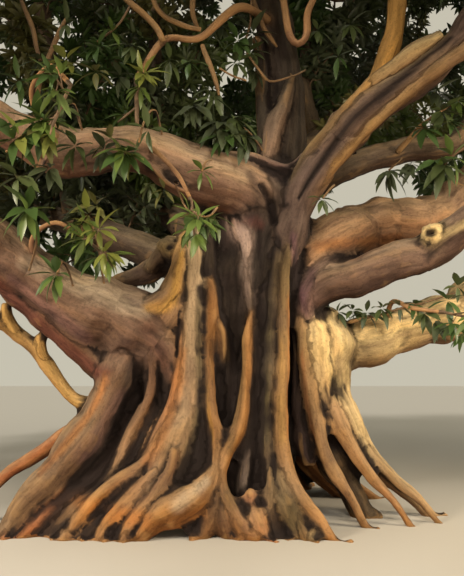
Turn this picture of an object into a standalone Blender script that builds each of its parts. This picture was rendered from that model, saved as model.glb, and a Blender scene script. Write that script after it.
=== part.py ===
"""A banyan tree: a trunk of fused buttress roots, its boughs and its masses of foliage.

Metres, +Z up. The origin is on the flat cut at ground level, under the trunk's core.
The tree is seen along +Y, with +X to the right.
"""

import math
import random
from collections import namedtuple

import bmesh
import bpy
from mathutils import Matrix, Vector
from mathutils.geometry import intersect_ray_tri

# The gap that touching solids keep.
GAP = 0.0003

# The trunk's core: a flared foot, a waist and a crotch that leans right.
CORE_STOPS = ((0.1, 0.12, -0.5), (0.1, 0.12, 1.0), (0.14, 0.1, 2.3), (0.26, 0.06, 3.2), (0.5, 0.08, 3.9))
CORE_RADII = (0.8, 0.58, 0.52, 0.5, 0.34)

# How the fused trunk is made: the grain of the skin, its smoothing, and the share of faces that is kept.
TRUNK_VOXEL = 0.055
TRUNK_SMOOTHING = 4
TRUNK_FACES = 2100
GROUND_BLOCK = 8.0

# A bough's foot grows that far past its cut before a block trims it flat.
FOOT_OVER, FOOT_BLOCK_WIDTH, FOOT_BLOCK_DEPTH = 0.22, 2.6, 0.55

# A root is a strand down the trunk that turns outward at its foot. Its stops run from the top down.
Root = namedtuple("Root", "stops radii")
ROOTS = (
    Root(((-0.52, -0.2, 2.95), (-0.6, -0.3, 2.55), (-0.72, -0.38, 2.2), (-0.85, -0.42, 1.8)),
         (0.1, 0.13, 0.17, 0.2)),
    Root(((-0.7, -0.2, 2.1), (-1.06, -0.32, 1.46), (-1.4, -0.42, 0.95), (-1.75, -0.5, 0.5),
          (-2.3, -0.6, -0.08)),
         (0.3, 0.27, 0.24, 0.2, 0.14)),
    Root(((-0.66, -0.36, 2.0), (-0.79, -0.48, 1.25), (-1.03, -0.63, 0.72), (-1.3, -0.8, 0.33),
          (-1.62, -0.98, -0.05)),
         (0.14, 0.14, 0.13, 0.11, 0.09)),
    Root(((-0.46, -0.38, 3.4), (-0.43, -0.45, 2.3), (-0.5, -0.55, 1.45), (-0.66, -0.7, 0.85),
          (-0.98, -0.92, 0.36), (-1.4, -1.16, -0.05)),
         (0.2, 0.2, 0.21, 0.22, 0.19, 0.11)),
    Root(((-0.55, -0.62, 0.95), (-0.72, -0.88, 0.5), (-0.9, -1.12, 0.18), (-1.1, -1.32, -0.06)),
         (0.14, 0.15, 0.13, 0.09)),
    Root(((-0.21, -0.48, 2.4), (-0.2, -0.6, 1.45), (-0.17, -0.74, 0.86), (-0.24, -0.95, 0.45),
          (-0.46, -1.15, 0.17), (-0.7, -1.32, -0.07)),
         (0.11, 0.12, 0.12, 0.14, 0.2, 0.12)),
    Root(((0.27, -0.42, 3.2), (0.15, -0.53, 2.3), (0.09, -0.64, 1.4), (0.0, -0.76, 0.86),
          (-0.08, -0.92, 0.48), (0.0, -1.12, 0.2), (0.16, -1.34, -0.06)),
         (0.15, 0.14, 0.12, 0.11, 0.1, 0.12, 0.09)),
    Root(((0.49, -0.38, 3.1), (0.48, -0.48, 2.1), (0.48, -0.6, 1.26), (0.52, -0.76, 0.67),
          (0.64, -1.0, 0.28), (0.9, -1.26, -0.06)),
         (0.2, 0.19, 0.19, 0.19, 0.17, 0.1)),
    Root(((0.36, -0.62, 0.8), (0.3, -0.86, 0.4), (0.34, -1.08, -0.05)),
         (0.1, 0.11, 0.08)),
    Root(((0.8, -0.22, 2.5), (0.79, -0.3, 1.35), (0.87, -0.42, 0.72), (1.0, -0.58, -0.06)),
         (0.13, 0.12, 0.11, 0.09)),
    Root(((0.96, 0.02, 2.2), (1.07, 0.02, 1.4), (1.27, 0.05, 0.84), (1.6, 0.1, 0.4), (2.2, 0.18, -0.08)),
         (0.24, 0.22, 0.2, 0.18, 0.12)),
)

# The roots behind the trunk follow one rule: each leaves the core high up and reaches the ground further out.
BACK_ROOTS = 7
BACK_FROM_DEG, BACK_TO_DEG = 32.0, 172.0
BACK_HEIGHTS = (2.7, 1.5, 0.75, 0.3, -0.07)
BACK_REACHES = (0.46, 0.62, 0.86, 1.2, 1.75)
BACK_RADII = (0.17, 0.19, 0.19, 0.17, 0.1)
BACK_SPREAD = 0.22
BACK_SEED = 11

# A limb's first stop lies inside its parent. At "cut" metres along it leaves the parent's solid for its own,
# which ends at "until" metres, where one is given. A limb named by "ends_in" holds the stretch past that.
# Its radius falls from "thick" to "thin" along the whole line, late where "taper" is under 1.
LIMB_FIELDS = "parent stops thick thin taper cut sides rings until ends_in"
Limb = namedtuple("Limb", LIMB_FIELDS, defaults=(None, None))
BOUGH_SIDES, FORK_SIDES, TWIG_SIDES = 8, 6, 6
BOUGH_RINGS, FORK_RINGS, TWIG_RINGS = 10, 7, 8


def bough(parent, stops, thick, thin, cut, taper=1.0):
    return Limb(parent, stops, thick, thin, taper, cut, BOUGH_SIDES, BOUGH_RINGS)


def fork(parent, stops, thick, thin, cut, taper=1.0):
    return Limb(parent, stops, thick, thin, taper, cut, FORK_SIDES, FORK_RINGS)


def branch(parent, stops, thick, thin, cut, rings=TWIG_RINGS):
    return Limb(parent, stops, thick, thin, 1.0, cut, TWIG_SIDES, rings)


# The prop root runs from the trunk to the bough above it, whose solid holds its last stretch.
PROP_END = 2.28

# The looping branch is split at the foot of its bend.
LOOP_STOPS = ((0.5, 0.36, 6.6), (0.55, -0.1, 6.5), (0.62, -0.32, 6.0), (0.68, -0.4, 5.52),
              (0.78, -0.43, 5.38),
              (0.88, -0.43, 5.5), (0.9, -0.42, 5.78), (1.03, -0.4, 6.2), (0.95, -0.35, 6.95))
LOOP_BEND, LOOP_RINGS = 1.68, 17

LIMBS = {
    "bough_left_low": bough(
        "trunk", ((-0.35, 0.0, 1.8), (-1.35, -0.35, 1.95), (-2.44, -0.8, 2.7), (-4.2, -0.9, 3.7),
                  (-5.7, -0.3, 4.7)),
        0.56, 0.12, 1.35, 0.7),
    "bough_left_high": bough(
        "trunk", ((0.45, -0.3, 3.45), (-0.2, -0.6, 3.66), (-0.9, -0.75, 3.88), (-1.94, -1.05, 3.88),
                  (-4.9, -2.5, 5.1)),
        0.34, 0.11, 1.4),
    "bough_centre": bough(
        "trunk", ((0.5, 0.1, 3.5), (0.61, 0.2, 4.4), (0.64, 0.27, 5.2), (0.52, 0.35, 6.5),
                  (0.35, 0.35, 8.2), (-0.4, 0.0, 9.8)),
        0.34, 0.1, 1.1),
    "bough_right_rising": bough(
        "trunk", ((0.5, -0.12, 2.9), (1.0, -0.35, 3.8), (1.5, -0.45, 4.48), (2.6, -0.7, 5.3),
                  (3.3, -1.3, 7.0), (3.2, -1.7, 8.3)),
        0.36, 0.11, 1.1),
    "bough_right_upper": bough(
        "trunk", ((0.5, 0.2, 3.6), (1.45, 0.4, 4.15), (2.2, 0.5, 4.42), (3.1, 0.65, 4.7),
                  (4.1, 0.95, 6.4), (3.9, 1.2, 8.2)),
        0.27, 0.1, 0.85),
    "bough_right_middle": bough(
        "trunk", ((0.35, 0.08, 2.85), (1.13, 0.15, 3.15), (1.84, 0.25, 3.37), (2.7, 0.38, 3.57),
                  (5.1, 2.6, 5.9)),
        0.36, 0.1, 0.95),
    "bough_right_knot": bough(
        "trunk", ((0.45, -0.1, 2.25), (1.28, -0.3, 2.57), (1.77, -0.4, 2.76), (2.5, -0.55, 3.1),
                  (5.2, -2.4, 5.4)),
        0.3, 0.09, 0.95, 1.6),
    "bough_right_low": bough(
        "trunk", ((0.6, 0.1, 1.5), (1.43, 0.3, 1.85), (2.2, 0.4, 2.12), (2.95, 0.5, 2.35), (5.9, 0.5, 4.9)),
        0.44, 0.12, 1.15),
    "bough_back_right": bough(
        "trunk", ((0.4, 0.1, 3.1), (0.85, 1.05, 4.3), (1.8, 2.9, 5.9), (2.9, 4.9, 7.5)), 0.27, 0.1, 1.3),
    "bough_back": bough(
        "trunk", ((0.2, 0.1, 2.8), (0.28, 1.2, 3.9), (0.2, 3.2, 5.2), (0.2, 5.4, 6.2)), 0.29, 0.1, 1.3),
    "bough_back_left": bough(
        "trunk", ((0.05, 0.1, 2.6), (-0.55, 1.15, 3.5), (-1.6, 3.0, 4.5),
                  (-2.5, 4.8, 5.1)), 0.27, 0.1, 1.3),
    "bough_left_back": bough(
        "trunk", ((0.0, 0.05, 2.4), (-1.05, 0.65, 3.1), (-2.8, 1.7, 3.9),
                  (-4.6, 2.9, 4.6)), 0.26, 0.1, 1.1),
    "bough_front": bough(
        "bough_centre", ((0.5, 0.36, 6.7), (0.42, -0.6, 7.2), (0.3, -2.4, 7.4),
                         (0.2, -4.9, 6.3)), 0.16, 0.08, 0.6),
    "fork_left_high": fork(
        "bough_left_high", ((-2.7, -1.37, 4.08), (-2.95, -2.2, 4.5), (-2.9, -4.3, 5.4)), 0.15, 0.08, 0.6),
    "fork_right_rising": fork(
        "bough_right_rising", ((1.5, -0.45, 4.48), (1.78, -0.4, 5.1), (1.99, -0.35, 5.9),
                               (2.1, -0.2, 8.0), (1.7, -0.4, 9.9)),
        0.13, 0.07, 0.62),
    "fork_right_knot": fork(
        "bough_right_knot", ((3.4, -1.05, 3.75), (3.5, -2.1, 4.4), (3.1, -4.2, 5.5)), 0.13, 0.08, 0.55),
    "fork_back_right": fork(
        "bough_back_right", ((1.35, 2.05, 5.2), (1.2, 2.5, 6.4), (1.5, 3.1, 8.0)), 0.15, 0.09, 0.55),
    "fork_back_left": fork(
        "bough_back_left", ((-1.1, 2.15, 4.1), (-1.25, 2.5, 5.6), (-1.4, 2.9, 8.0)), 0.15, 0.09, 0.6),
    "fork_left_back": fork(
        "bough_left_back", ((-2.3, 1.4, 3.72), (-2.6, 1.3, 5.6), (-3.0, 0.9, 8.1)), 0.15, 0.09, 0.6),
    "fork_centre_left": fork(
        "bough_centre", ((0.44, 0.36, 7.3), (-0.5, -0.6, 8.0), (-2.0, -1.8, 8.5)), 0.13, 0.08, 0.66),
    "fork_centre_front": fork(
        "bough_front", ((0.38, -1.2, 7.34), (0.42, -1.8, 8.1), (0.45, -2.8, 8.6)), 0.12, 0.08, 0.5),
    "fork_centre_back": fork(
        "bough_centre", ((0.35, 0.35, 8.2), (0.4, 0.9, 9.1), (0.25, 1.4, 10.0)), 0.11, 0.08, 0.45),
    "prop_root_left": branch(
        "trunk", ((-1.3, -0.35, 1.15), (-1.72, -0.34, 1.2), (-1.93, -0.36, 1.4), (-2.2, -0.4, 1.7),
                  (-2.65, -0.5, 1.98), (-3.05, -0.6, 2.3), (-3.3, -0.8, 3.05)),
        0.085, 0.075, 0.42, rings=9)._replace(until=PROP_END, ends_in="bough_left_low"),
    "branch_top_left": branch(
        "bough_centre", ((0.56, 0.32, 6.1), (0.09, -0.55, 5.76), (-0.36, -0.75, 5.26),
                         (-0.74, -0.85, 5.18), (-1.0, -0.95, 4.7)),
        0.06, 0.035, 0.42),
    "branch_loop_down": branch(
        "bough_centre", LOOP_STOPS, 0.06, 0.03, 0.52, rings=LOOP_RINGS)._replace(until=LOOP_BEND),
    "branch_loop_up": branch(
        None, LOOP_STOPS, 0.06, 0.03, LOOP_BEND, rings=LOOP_RINGS),
    "branch_front_left": branch(
        "bough_left_high", ((-1.9, -1.04, 3.9), (-2.0, -1.35, 4.3), (-1.75, -1.6, 4.45),
                            (-1.55, -1.7, 4.25)),
        0.04, 0.025, 0.42, rings=6),
    "branch_left_low": branch(
        "bough_left_low", ((-2.0, -0.65, 2.4), (-2.05, -1.0, 2.85), (-1.75, -1.25, 3.0),
                           (-1.45, -1.3, 2.85)),
        0.035, 0.022, 0.58, rings=6),
    "branch_hanging": branch(
        "bough_left_high", ((-0.9, -0.75, 3.88), (-0.8, -1.1, 3.8), (-0.55, -1.25, 3.5),
                            (-0.42, -1.28, 3.25)),
        0.032, 0.02, 0.45, rings=5),
    "branch_right_low": branch(
        "bough_right_low", ((1.9, 0.36, 2.05), (1.85, -0.1, 2.35), (2.0, -0.4, 2.25), (2.25, -0.5, 2.2)),
        0.035, 0.022, 0.5, rings=6),
}

# A mass keeps to an ellipsoid round its centre, where no other mass has its centre nearer.
Mass = namedtuple("Mass", "limb centre spread height leaf twigs")
CROWN_X, CROWN_Y, CROWN_HEART_Z = 0.2, 0.3, 4.0
CROWN_LEAF, SPRAY_LEAF = 1.9, 0.34
OUTER_RADIUS, OUTER_SPREAD, OUTER_HEIGHT = 6.9, 2.6, 2.25
INNER_RADIUS, INNER_Z, INNER_SPREAD, INNER_HEIGHT = 4.2, 9.3, 2.6, 2.3
TOP_RADIUS, TOP_Z, TOP_SPREAD, TOP_HEIGHT = 1.75, 11.2, 2.4, 2.0
CROWN_TWIGS, SPRAY_TWIGS = 6, 3
OUTER_MASSES = (  # the limb, the turn from +X in degrees, and the height of the centre
    ("bough_right_low", 0, 6.6), ("bough_right_middle", 30, 7.3), ("bough_back_right", 60, 8.7),
    ("bough_back", 90, 7.4), ("bough_back_left", 120, 6.3), ("bough_left_back", 150, 5.9),
    ("bough_left_low", 180, 6.1), ("bough_left_high", 210, 6.5), ("fork_left_high", 240, 6.8),
    ("bough_front", 270, 7.1), ("fork_right_knot", 300, 6.9), ("bough_right_knot", 330, 6.7),
)
INNER_MASSES = (
    ("bough_right_rising", -35), ("bough_right_upper", 16), ("fork_back_right", 68),
    ("fork_back_left", 119),
    ("fork_left_back", 171), ("fork_centre_left", 222), ("fork_centre_front", 274),
)
TOP_MASSES = (("fork_right_rising", 330), ("fork_centre_back", 90), ("bough_centre", 210))
SPRAYS = (  # the branch, and the centre and size of the spray that hangs from it
    ("branch_top_left", (-0.98, -1.0, 4.35), 0.5, 0.45),
    ("branch_front_left", (-1.62, -1.75, 4.0), 0.5, 0.42),
    ("branch_left_low", (-1.35, -1.36, 2.75), 0.42, 0.4),
    ("branch_hanging", (-0.4, -1.3, 3.05), 0.36, 0.35),
    ("branch_right_low", (2.45, -0.55, 2.15), 0.45, 0.4),
)

# A mass's stem runs on from its limb's tip for a short neck, then turns to the mass's far side and stops
# at a share of the way there. Its twigs leave it by the golden angle, past a bare first stretch.
STEM_NECK, STEM_REACH, STEM_BARE = 0.12, 0.72, 0.22
STEM_SIDES, TWIG_CONE_SIDES = 5, 3
NECK_THIN, STEM_THICK, STEM_THIN, STEM_LAP = 0.85, 0.8, 0.6, 0.4
GOLDEN_DEG = 137.508
TWIG_LEAN_DEG, TWIG_LEAN_END_DEG = (50.0, 95.0), 10.0
TWIG_REACH, TWIG_LEAST = 0.6, 0.15
TWIG_THICK, TWIG_THIN = 0.75, 0.55

# Leaves sit at these shares of a twig, and swing to one side and then the other.
LEAF_PLACES = (0.35, 0.68, 1.0)
LEAF_TRIES, LEAF_SHRINK = 12, 0.95
LEAF_SWING_DEG, END_SWING_DEG, LEAF_DROOP, LEAF_ROLL = 60.0, 10.0, 0.7, 0.5
LEAF_WIDTH_SHARE, LEAF_THICK_SHARE, LEAF_WIDEST = 0.5, 0.03, -0.08

# The room between masses in metres, and that between leaves and limbs as a share of a leaf.
MASS_MARGIN, LIMB_MARGIN = 0.04, 0.12
MASS_SEED = 300

BARK_COLOUR, ROOT_COLOUR = (0.31, 0.2, 0.115, 1.0), (0.36, 0.22, 0.1, 1.0)
LEAF_COLOURS = ((0.05, 0.11, 0.03, 1.0), (0.08, 0.16, 0.035, 1.0), (0.13, 0.2, 0.05, 1.0))
BARK_ROUGHNESS, LEAF_ROUGHNESS = 0.85, 0.5
SHARP_ANGLE = math.radians(50)

UP = Vector((0.0, 0.0, 1.0))

# Finished parts go in the first collection, and pieces that are still to be fused in the second.
PARTS, WORKSHOP = "banyan_tree", "workshop"


def clear_scene():
    for obj in list(bpy.data.objects):
        bpy.data.objects.remove(obj)
    for name in (PARTS, WORKSHOP):
        collection = bpy.data.collections.new(name)
        bpy.context.scene.collection.children.link(collection)


def smooth_path(stops, spacing):
    """Points about that far apart on the smooth curve through the stops, which share it out by its length."""
    stops = [Vector(stop) for stop in stops]
    ends = [2 * stops[0] - stops[1], *stops, 2 * stops[-1] - stops[-2]]
    fine = []
    steps = 24
    for a, b, c, d in zip(ends, ends[1:], ends[2:], ends[3:]):
        for step in range(steps):
            t = step / steps
            fine.append(0.5 * (2 * b + (c - a) * t + (2 * a - 5 * b + 4 * c - d) * t**2
                               + (3 * b - a - 3 * c + d) * t**3))
    fine.append(stops[-1])
    lengths = [0.0]
    for a, b in zip(fine, fine[1:]):
        lengths.append(lengths[-1] + (b - a).length)
    count = max(2, round(lengths[-1] / spacing))
    points, at = [], 0
    for i in range(count + 1):
        want = lengths[-1] * i / count
        while at < len(fine) - 2 and lengths[at + 1] < want:
            at += 1
        share = (want - lengths[at]) / max(lengths[at + 1] - lengths[at], 1e-9)
        points.append(fine[at].lerp(fine[at + 1], share))
    return points


def path_length(points):
    return sum((b - a).length for a, b in zip(points, points[1:]))


def spread_radii(radii, count):
    """Radii given at even stops, read off at that many even points."""
    found = []
    for i in range(count):
        place = i / (count - 1) * (len(radii) - 1)
        low = min(int(place), len(radii) - 2)
        found.append(radii[low] + (radii[low + 1] - radii[low]) * (place - low))
    return found


def limb_line(limb):
    """The limb's points and radii, from inside its parent to its tip."""
    coarse = smooth_path(limb.stops, 0.2)
    length = path_length(coarse)
    points = smooth_path(limb.stops, length / limb.rings)
    radii = []
    for i in range(len(points)):
        left = 1 - i / (len(points) - 1)
        radii.append(limb.thin + (limb.thick - limb.thin) * left**limb.taper)
    return points, radii


def cut_line(points, radii, at):
    """The line in two, that far along it, and its direction there."""
    run = 0.0
    for i, (a, b) in enumerate(zip(points, points[1:])):
        step = (b - a).length
        if run + step > at:
            break
        run += step
    share = (at - run) / step
    middle = a.lerp(b, share)
    radius = radii[i] + (radii[i + 1] - radii[i]) * share
    before = (points[:i + 1] + [middle], radii[:i + 1] + [radius])
    after = ([middle] + points[i + 1:], [radius] + radii[i + 1:])
    return before, after, (b - a).normalized()


def limb_collar(limb):
    """The part of the limb's line that its parent's solid holds."""
    return cut_line(*limb_line(limb), limb.cut)[0]


def limb_own(limb):
    """The line of the limb's own solid, a gap past its parent's."""
    line = limb_line(limb)
    if limb.until:
        line = cut_line(*line, limb.until)[0]
    points, radii = cut_line(*line, limb.cut)[1]
    along = (points[1] - points[0]).normalized()
    return [points[0] + GAP * along] + points[1:], radii


def limb_end(limb):
    """The stretch past the limb's own solid, which the limb that it grows into holds."""
    points, radii = cut_line(*limb_line(limb), limb.until)[1]
    along = (points[1] - points[0]).normalized()
    return [points[0] + GAP * along] + points[1:], radii


def new_object(name, mesh):
    obj = bpy.data.objects.new(name, mesh)
    bpy.data.collections[WORKSHOP].objects.link(obj)
    return obj


def tube(name, points, radii, sides):
    """A closed tube along the points, made as a bevelled curve and turned into a mesh."""
    curve = bpy.data.curves.new(name, "CURVE")
    curve.dimensions = "3D"
    curve.bevel_depth = 1.0
    curve.bevel_resolution = (sides - 4) // 2
    curve.use_fill_caps = True
    spline = curve.splines.new("POLY")
    spline.points.add(len(points) - 1)
    for point, place, radius in zip(spline.points, points, radii):
        point.co = (*place, 1.0)
        point.radius = radius
    guide = new_object(name + "_guide", curve)
    graph = bpy.context.evaluated_depsgraph_get()
    mesh = bpy.data.meshes.new_from_object(guide.evaluated_get(graph))
    bpy.data.objects.remove(guide)
    bm = bmesh.new()
    bm.from_mesh(mesh)
    bmesh.ops.remove_doubles(bm, verts=bm.verts, dist=1e-5)
    bmesh.ops.recalc_face_normals(bm, faces=bm.faces)
    bm.to_mesh(mesh)
    bm.free()
    return new_object(name, mesh)


def apply_modifiers(obj):
    graph = bpy.context.evaluated_depsgraph_get()
    mesh = bpy.data.meshes.new_from_object(obj.evaluated_get(graph))
    obj.modifiers.clear()
    obj.data = mesh


def fuse(body, pieces, operation="UNION"):
    """Joins the pieces to the body, or cuts them from it, and removes them."""
    collection = bpy.data.collections.new(body.name + "_pieces")
    bpy.context.scene.collection.children.link(collection)
    for piece in pieces:
        bpy.data.collections[WORKSHOP].objects.unlink(piece)
        collection.objects.link(piece)
    modifier = body.modifiers.new("fuse", "BOOLEAN")
    modifier.operation = operation
    modifier.operand_type = "COLLECTION"
    modifier.collection = collection
    modifier.solver = "EXACT"
    apply_modifiers(body)
    for piece in pieces:
        bpy.data.objects.remove(piece)
    bpy.data.collections.remove(collection)


def fill_cavities(obj):
    """Keeps the largest shell of the mesh: the others are hollows that fusing sealed, or loose scraps."""
    bm = bmesh.new()
    bm.from_mesh(obj.data)
    left = set(bm.verts)
    shells = []
    while left:
        shell, edge_of = set(), [left.pop()]
        while edge_of:
            vert = edge_of.pop()
            shell.add(vert)
            for edge in vert.link_edges:
                other = edge.other_vert(vert)
                if other in left:
                    left.discard(other)
                    edge_of.append(other)
        shells.append(shell)
    largest = max(shells, key=len)
    scraps = [vert for vert in bm.verts if vert not in largest]
    bmesh.ops.delete(bm, geom=scraps, context="VERTS")
    bm.to_mesh(obj.data)
    bm.free()


def finish_part(obj, colour, roughness):
    """Gives a whole part its material and its smooth faces, and files it with the parts."""
    material = bpy.data.materials.new(obj.name)
    material.use_nodes = True
    shader = material.node_tree.nodes["Principled BSDF"]
    shader.inputs["Base Color"].default_value = colour
    shader.inputs["Roughness"].default_value = roughness
    shader.inputs["Metallic"].default_value = 0.0
    material.diffuse_color = colour
    obj.data.materials.clear()
    obj.data.materials.append(material)
    obj.data.polygons.foreach_set("material_index", [0] * len(obj.data.polygons))
    obj.data.shade_smooth()
    obj.data.set_sharp_from_angle(angle=SHARP_ANGLE)
    bpy.data.collections[WORKSHOP].objects.unlink(obj)
    bpy.data.collections[PARTS].objects.link(obj)


def back_roots():
    """The roots that the front of the trunk hides, spread evenly round its back."""
    rng = random.Random(BACK_SEED)
    for i in range(BACK_ROOTS):
        turn = math.radians(BACK_FROM_DEG + (BACK_TO_DEG - BACK_FROM_DEG) * i / (BACK_ROOTS - 1))
        veer = rng.uniform(-BACK_SPREAD, BACK_SPREAD)
        stops = []
        for height, reach in zip(BACK_HEIGHTS, BACK_REACHES):
            around = turn + veer * max(0.0, 1 - height)
            stops.append((CORE_STOPS[0][0] + reach * math.cos(around),
                          CORE_STOPS[0][1] + reach * math.sin(around), height))
        yield Root(tuple(stops), BACK_RADII)


def block(name, start, direction, width, depth):
    """A box that starts at a point, square to the direction."""
    bm = bmesh.new()
    bmesh.ops.create_cube(bm, size=1.0)
    bm.transform(Matrix.Diagonal((width, width, depth, 1.0)))
    turn = frame_along(direction, 0.0).to_4x4()
    bm.transform(Matrix.Translation(start + direction * depth / 2) @ turn)
    mesh = bpy.data.meshes.new(name)
    bm.to_mesh(mesh)
    bm.free()
    return new_object(name, mesh)


def strand(name, stops, radii, spacing=0.18):
    points = smooth_path(stops, spacing)
    return tube(name, points, spread_radii(radii, len(points)), BOUGH_SIDES)


def build_trunk():
    """Core, roots and the feet of the boughs, fused under one smooth skin and cut flat at the ground."""
    pieces = [strand("core_strand", CORE_STOPS, CORE_RADII)]
    for i, root in enumerate((*ROOTS, *back_roots())):
        pieces.append(strand(f"root_strand_{i}", root.stops, root.radii))
    feet = [limb for limb in LIMBS.values() if limb.parent == "trunk" and limb.sides == BOUGH_SIDES]
    blocks = [block("ground_block", Vector(), -UP, GROUND_BLOCK, GROUND_BLOCK)]
    for limb in feet:
        points, radii = limb_line(limb)
        pieces.append(tube("foot", *cut_line(points, radii, limb.cut + FOOT_OVER)[0], BOUGH_SIDES))
        _, (after, after_radii), along = cut_line(points, radii, limb.cut)
        width = FOOT_BLOCK_WIDTH * after_radii[0]
        blocks.append(block("foot_block", after[0], along, width, FOOT_BLOCK_DEPTH))
    bm = bmesh.new()
    for piece in pieces:
        bm.from_mesh(piece.data)
        bpy.data.objects.remove(piece)
    mesh = bpy.data.meshes.new("trunk")
    bm.to_mesh(mesh)
    bm.free()
    trunk = new_object("trunk", mesh)
    remesh = trunk.modifiers.new("skin", "REMESH")
    remesh.mode = "VOXEL"
    remesh.voxel_size = TRUNK_VOXEL
    smooth = trunk.modifiers.new("soften", "SMOOTH")
    smooth.factor = 0.5
    smooth.iterations = TRUNK_SMOOTHING
    apply_modifiers(trunk)
    decimate = trunk.modifiers.new("thin_out", "DECIMATE")
    decimate.ratio = TRUNK_FACES / (2 * len(trunk.data.polygons))
    apply_modifiers(trunk)
    fuse(trunk, blocks, operation="DIFFERENCE")
    fuse(trunk, [tube("collar", *limb_collar(LIMBS["prop_root_left"]), TWIG_SIDES)])
    fill_cavities(trunk)
    finish_part(trunk, ROOT_COLOUR, BARK_ROUGHNESS)


def build_limb(name, limb):
    """One tapering limb, with the feet of the limbs that leave it."""
    points, radii = limb_own(limb)
    obj = tube(name, points, radii, limb.sides)
    feet = []
    for other_name, other in LIMBS.items():
        if other.parent == name:
            feet.append(tube(other_name + "_collar", *limb_collar(other), other.sides))
        if other.ends_in == name:
            feet.append(tube(other_name + "_end", *limb_end(other), other.sides))
    if feet:
        fuse(obj, feet)
    finish_part(obj, BARK_COLOUR, BARK_ROUGHNESS)


def ring_mass(limb, turn_deg, radius, z, spread, height):
    turn = math.radians(turn_deg)
    centre = Vector((CROWN_X + radius * math.cos(turn), CROWN_Y + radius * math.sin(turn), z))
    return Mass(limb, centre, spread, height, CROWN_LEAF, CROWN_TWIGS)


def all_masses():
    masses = []
    for limb, turn, z in OUTER_MASSES:
        masses.append(ring_mass(limb, turn, OUTER_RADIUS, z, OUTER_SPREAD, OUTER_HEIGHT))
    for limb, turn in INNER_MASSES:
        masses.append(ring_mass(limb, turn, INNER_RADIUS, INNER_Z, INNER_SPREAD, INNER_HEIGHT))
    for limb, turn in TOP_MASSES:
        masses.append(ring_mass(limb, turn, TOP_RADIUS, TOP_Z, TOP_SPREAD, TOP_HEIGHT))
    for limb, centre, spread, height in SPRAYS:
        masses.append(Mass(limb, Vector(centre), spread, height, SPRAY_LEAF, SPRAY_TWIGS))
    return masses


def in_space(point, mass, masses, margin=MASS_MARGIN):
    """Whether the point lies in the mass's ellipsoid and nearer to its centre than to any other's."""
    off = point - mass.centre
    round_off = (off.x**2 + off.y**2) / mass.spread**2 + off.z**2 / mass.height**2
    if round_off > 1:
        return False
    for other in masses:
        if other is mass:
            continue
        apart = other.centre - mass.centre
        if off.dot(apart) > apart.length * (apart.length / 2 - margin):
            return False
    return True


def segment_distance(point, a, b):
    ab = b - a
    share = max(0.0, min(1.0, (point - a).dot(ab) / max(ab.length_squared, 1e-12)))
    return (point - a - ab * share).length


def clear_of_limbs(points, lines, margin):
    for a, b, radius in lines:
        for point in points:
            if segment_distance(point, a, b) < radius + margin:
                return False
    return True


def frame_along(direction, roll):
    """A rotation that turns +Z to the direction, rolled about it."""
    return direction.to_track_quat("Z", "Y").to_matrix() @ Matrix.Rotation(roll, 3, "Z")


def cone_object(name, start, end, thick, thin, sides):
    """A tapering stem or twig."""
    bm = bmesh.new()
    length = (end - start).length
    bmesh.ops.create_cone(bm, cap_ends=True, segments=sides, radius1=thick, radius2=thin, depth=length)
    turn = frame_along((end - start).normalized(), 0.0).to_4x4()
    bm.transform(Matrix.Translation((start + end) / 2) @ turn)
    mesh = bpy.data.meshes.new(name)
    bm.to_mesh(mesh)
    bm.free()
    return new_object(name, mesh)


def leaf_object(name, root, tip, normal):
    """A leaf of eight faces: a flat eight-sided gem, widest below its middle."""
    length = (tip - root).length
    along = (tip - root).normalized()
    across = along.cross(normal).normalized()
    flat = across.cross(along)
    bm = bmesh.new()
    bmesh.ops.create_uvsphere(bm, u_segments=4, v_segments=2, radius=0.5)
    for vert in bm.verts:
        x, y, z = vert.co
        shift = LEAF_WIDEST * (1 - 2 * abs(z))
        place = (root + tip) / 2 + along * length * (z + shift)
        place += across * x * length * LEAF_WIDTH_SHARE + flat * y * length * LEAF_THICK_SHARE
        vert.co = place
    bmesh.ops.recalc_face_normals(bm, faces=bm.faces)
    mesh = bpy.data.meshes.new(name)
    bm.to_mesh(mesh)
    bm.free()
    return new_object(name, mesh)


def way_out(mass, masses, start, direction):
    """How far the mass's space runs from a point in a direction."""
    step = mass.spread / 20
    reach = 0.0
    while in_space(start + direction * (reach + step), mass, masses) and reach < 2 * mass.spread:
        reach += step
    return reach


def grow_twigs(mass, masses, tip, along, radius, rng):
    """The rule: the stem's neck and run, and its twigs, each as (start, end, thick, thin)."""
    aim = (mass.centre - tip).normalized()
    stem_start = tip + GAP * along
    bend = stem_start + along * mass.spread * STEM_NECK
    stem_run = way_out(mass, masses, mass.centre, aim) + (mass.centre - bend).length
    stem_end = bend + aim * stem_run * STEM_REACH
    thin = radius * STEM_THIN
    lap = radius * STEM_LAP
    neck = (stem_start, bend + along * lap, radius, radius * NECK_THIN)
    stem = (bend - aim * lap, stem_end, radius * STEM_THICK, thin)
    twigs = []
    turn = rng.uniform(0, 360)
    for i in range(mass.twigs):
        share = i / (mass.twigs - 1)
        root = bend.lerp(stem_end, STEM_BARE + (1 - STEM_BARE) * share)
        turn += GOLDEN_DEG
        lean = math.radians(rng.uniform(*TWIG_LEAN_DEG) if share < 1 else TWIG_LEAN_END_DEG)
        side = frame_along(aim, math.radians(turn)) @ Vector((math.sin(lean), 0.0, math.cos(lean)))
        run = way_out(mass, masses, root, side) * TWIG_REACH
        if run > mass.spread * TWIG_LEAST:
            twigs.append((root, root + side * run, thin * TWIG_THICK, thin * TWIG_THIN))
    return (neck, stem), twigs


def leaf_outline(root, tip, normal):
    """The corners of a leaf's flat outline: root, one side, tip, other side."""
    across = (tip - root).cross(normal).normalized() * (tip - root).length * LEAF_WIDTH_SHARE / 2
    wide = root.lerp(tip, 0.5 + LEAF_WIDEST)
    return root, wide + across, tip, wide - across


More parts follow.
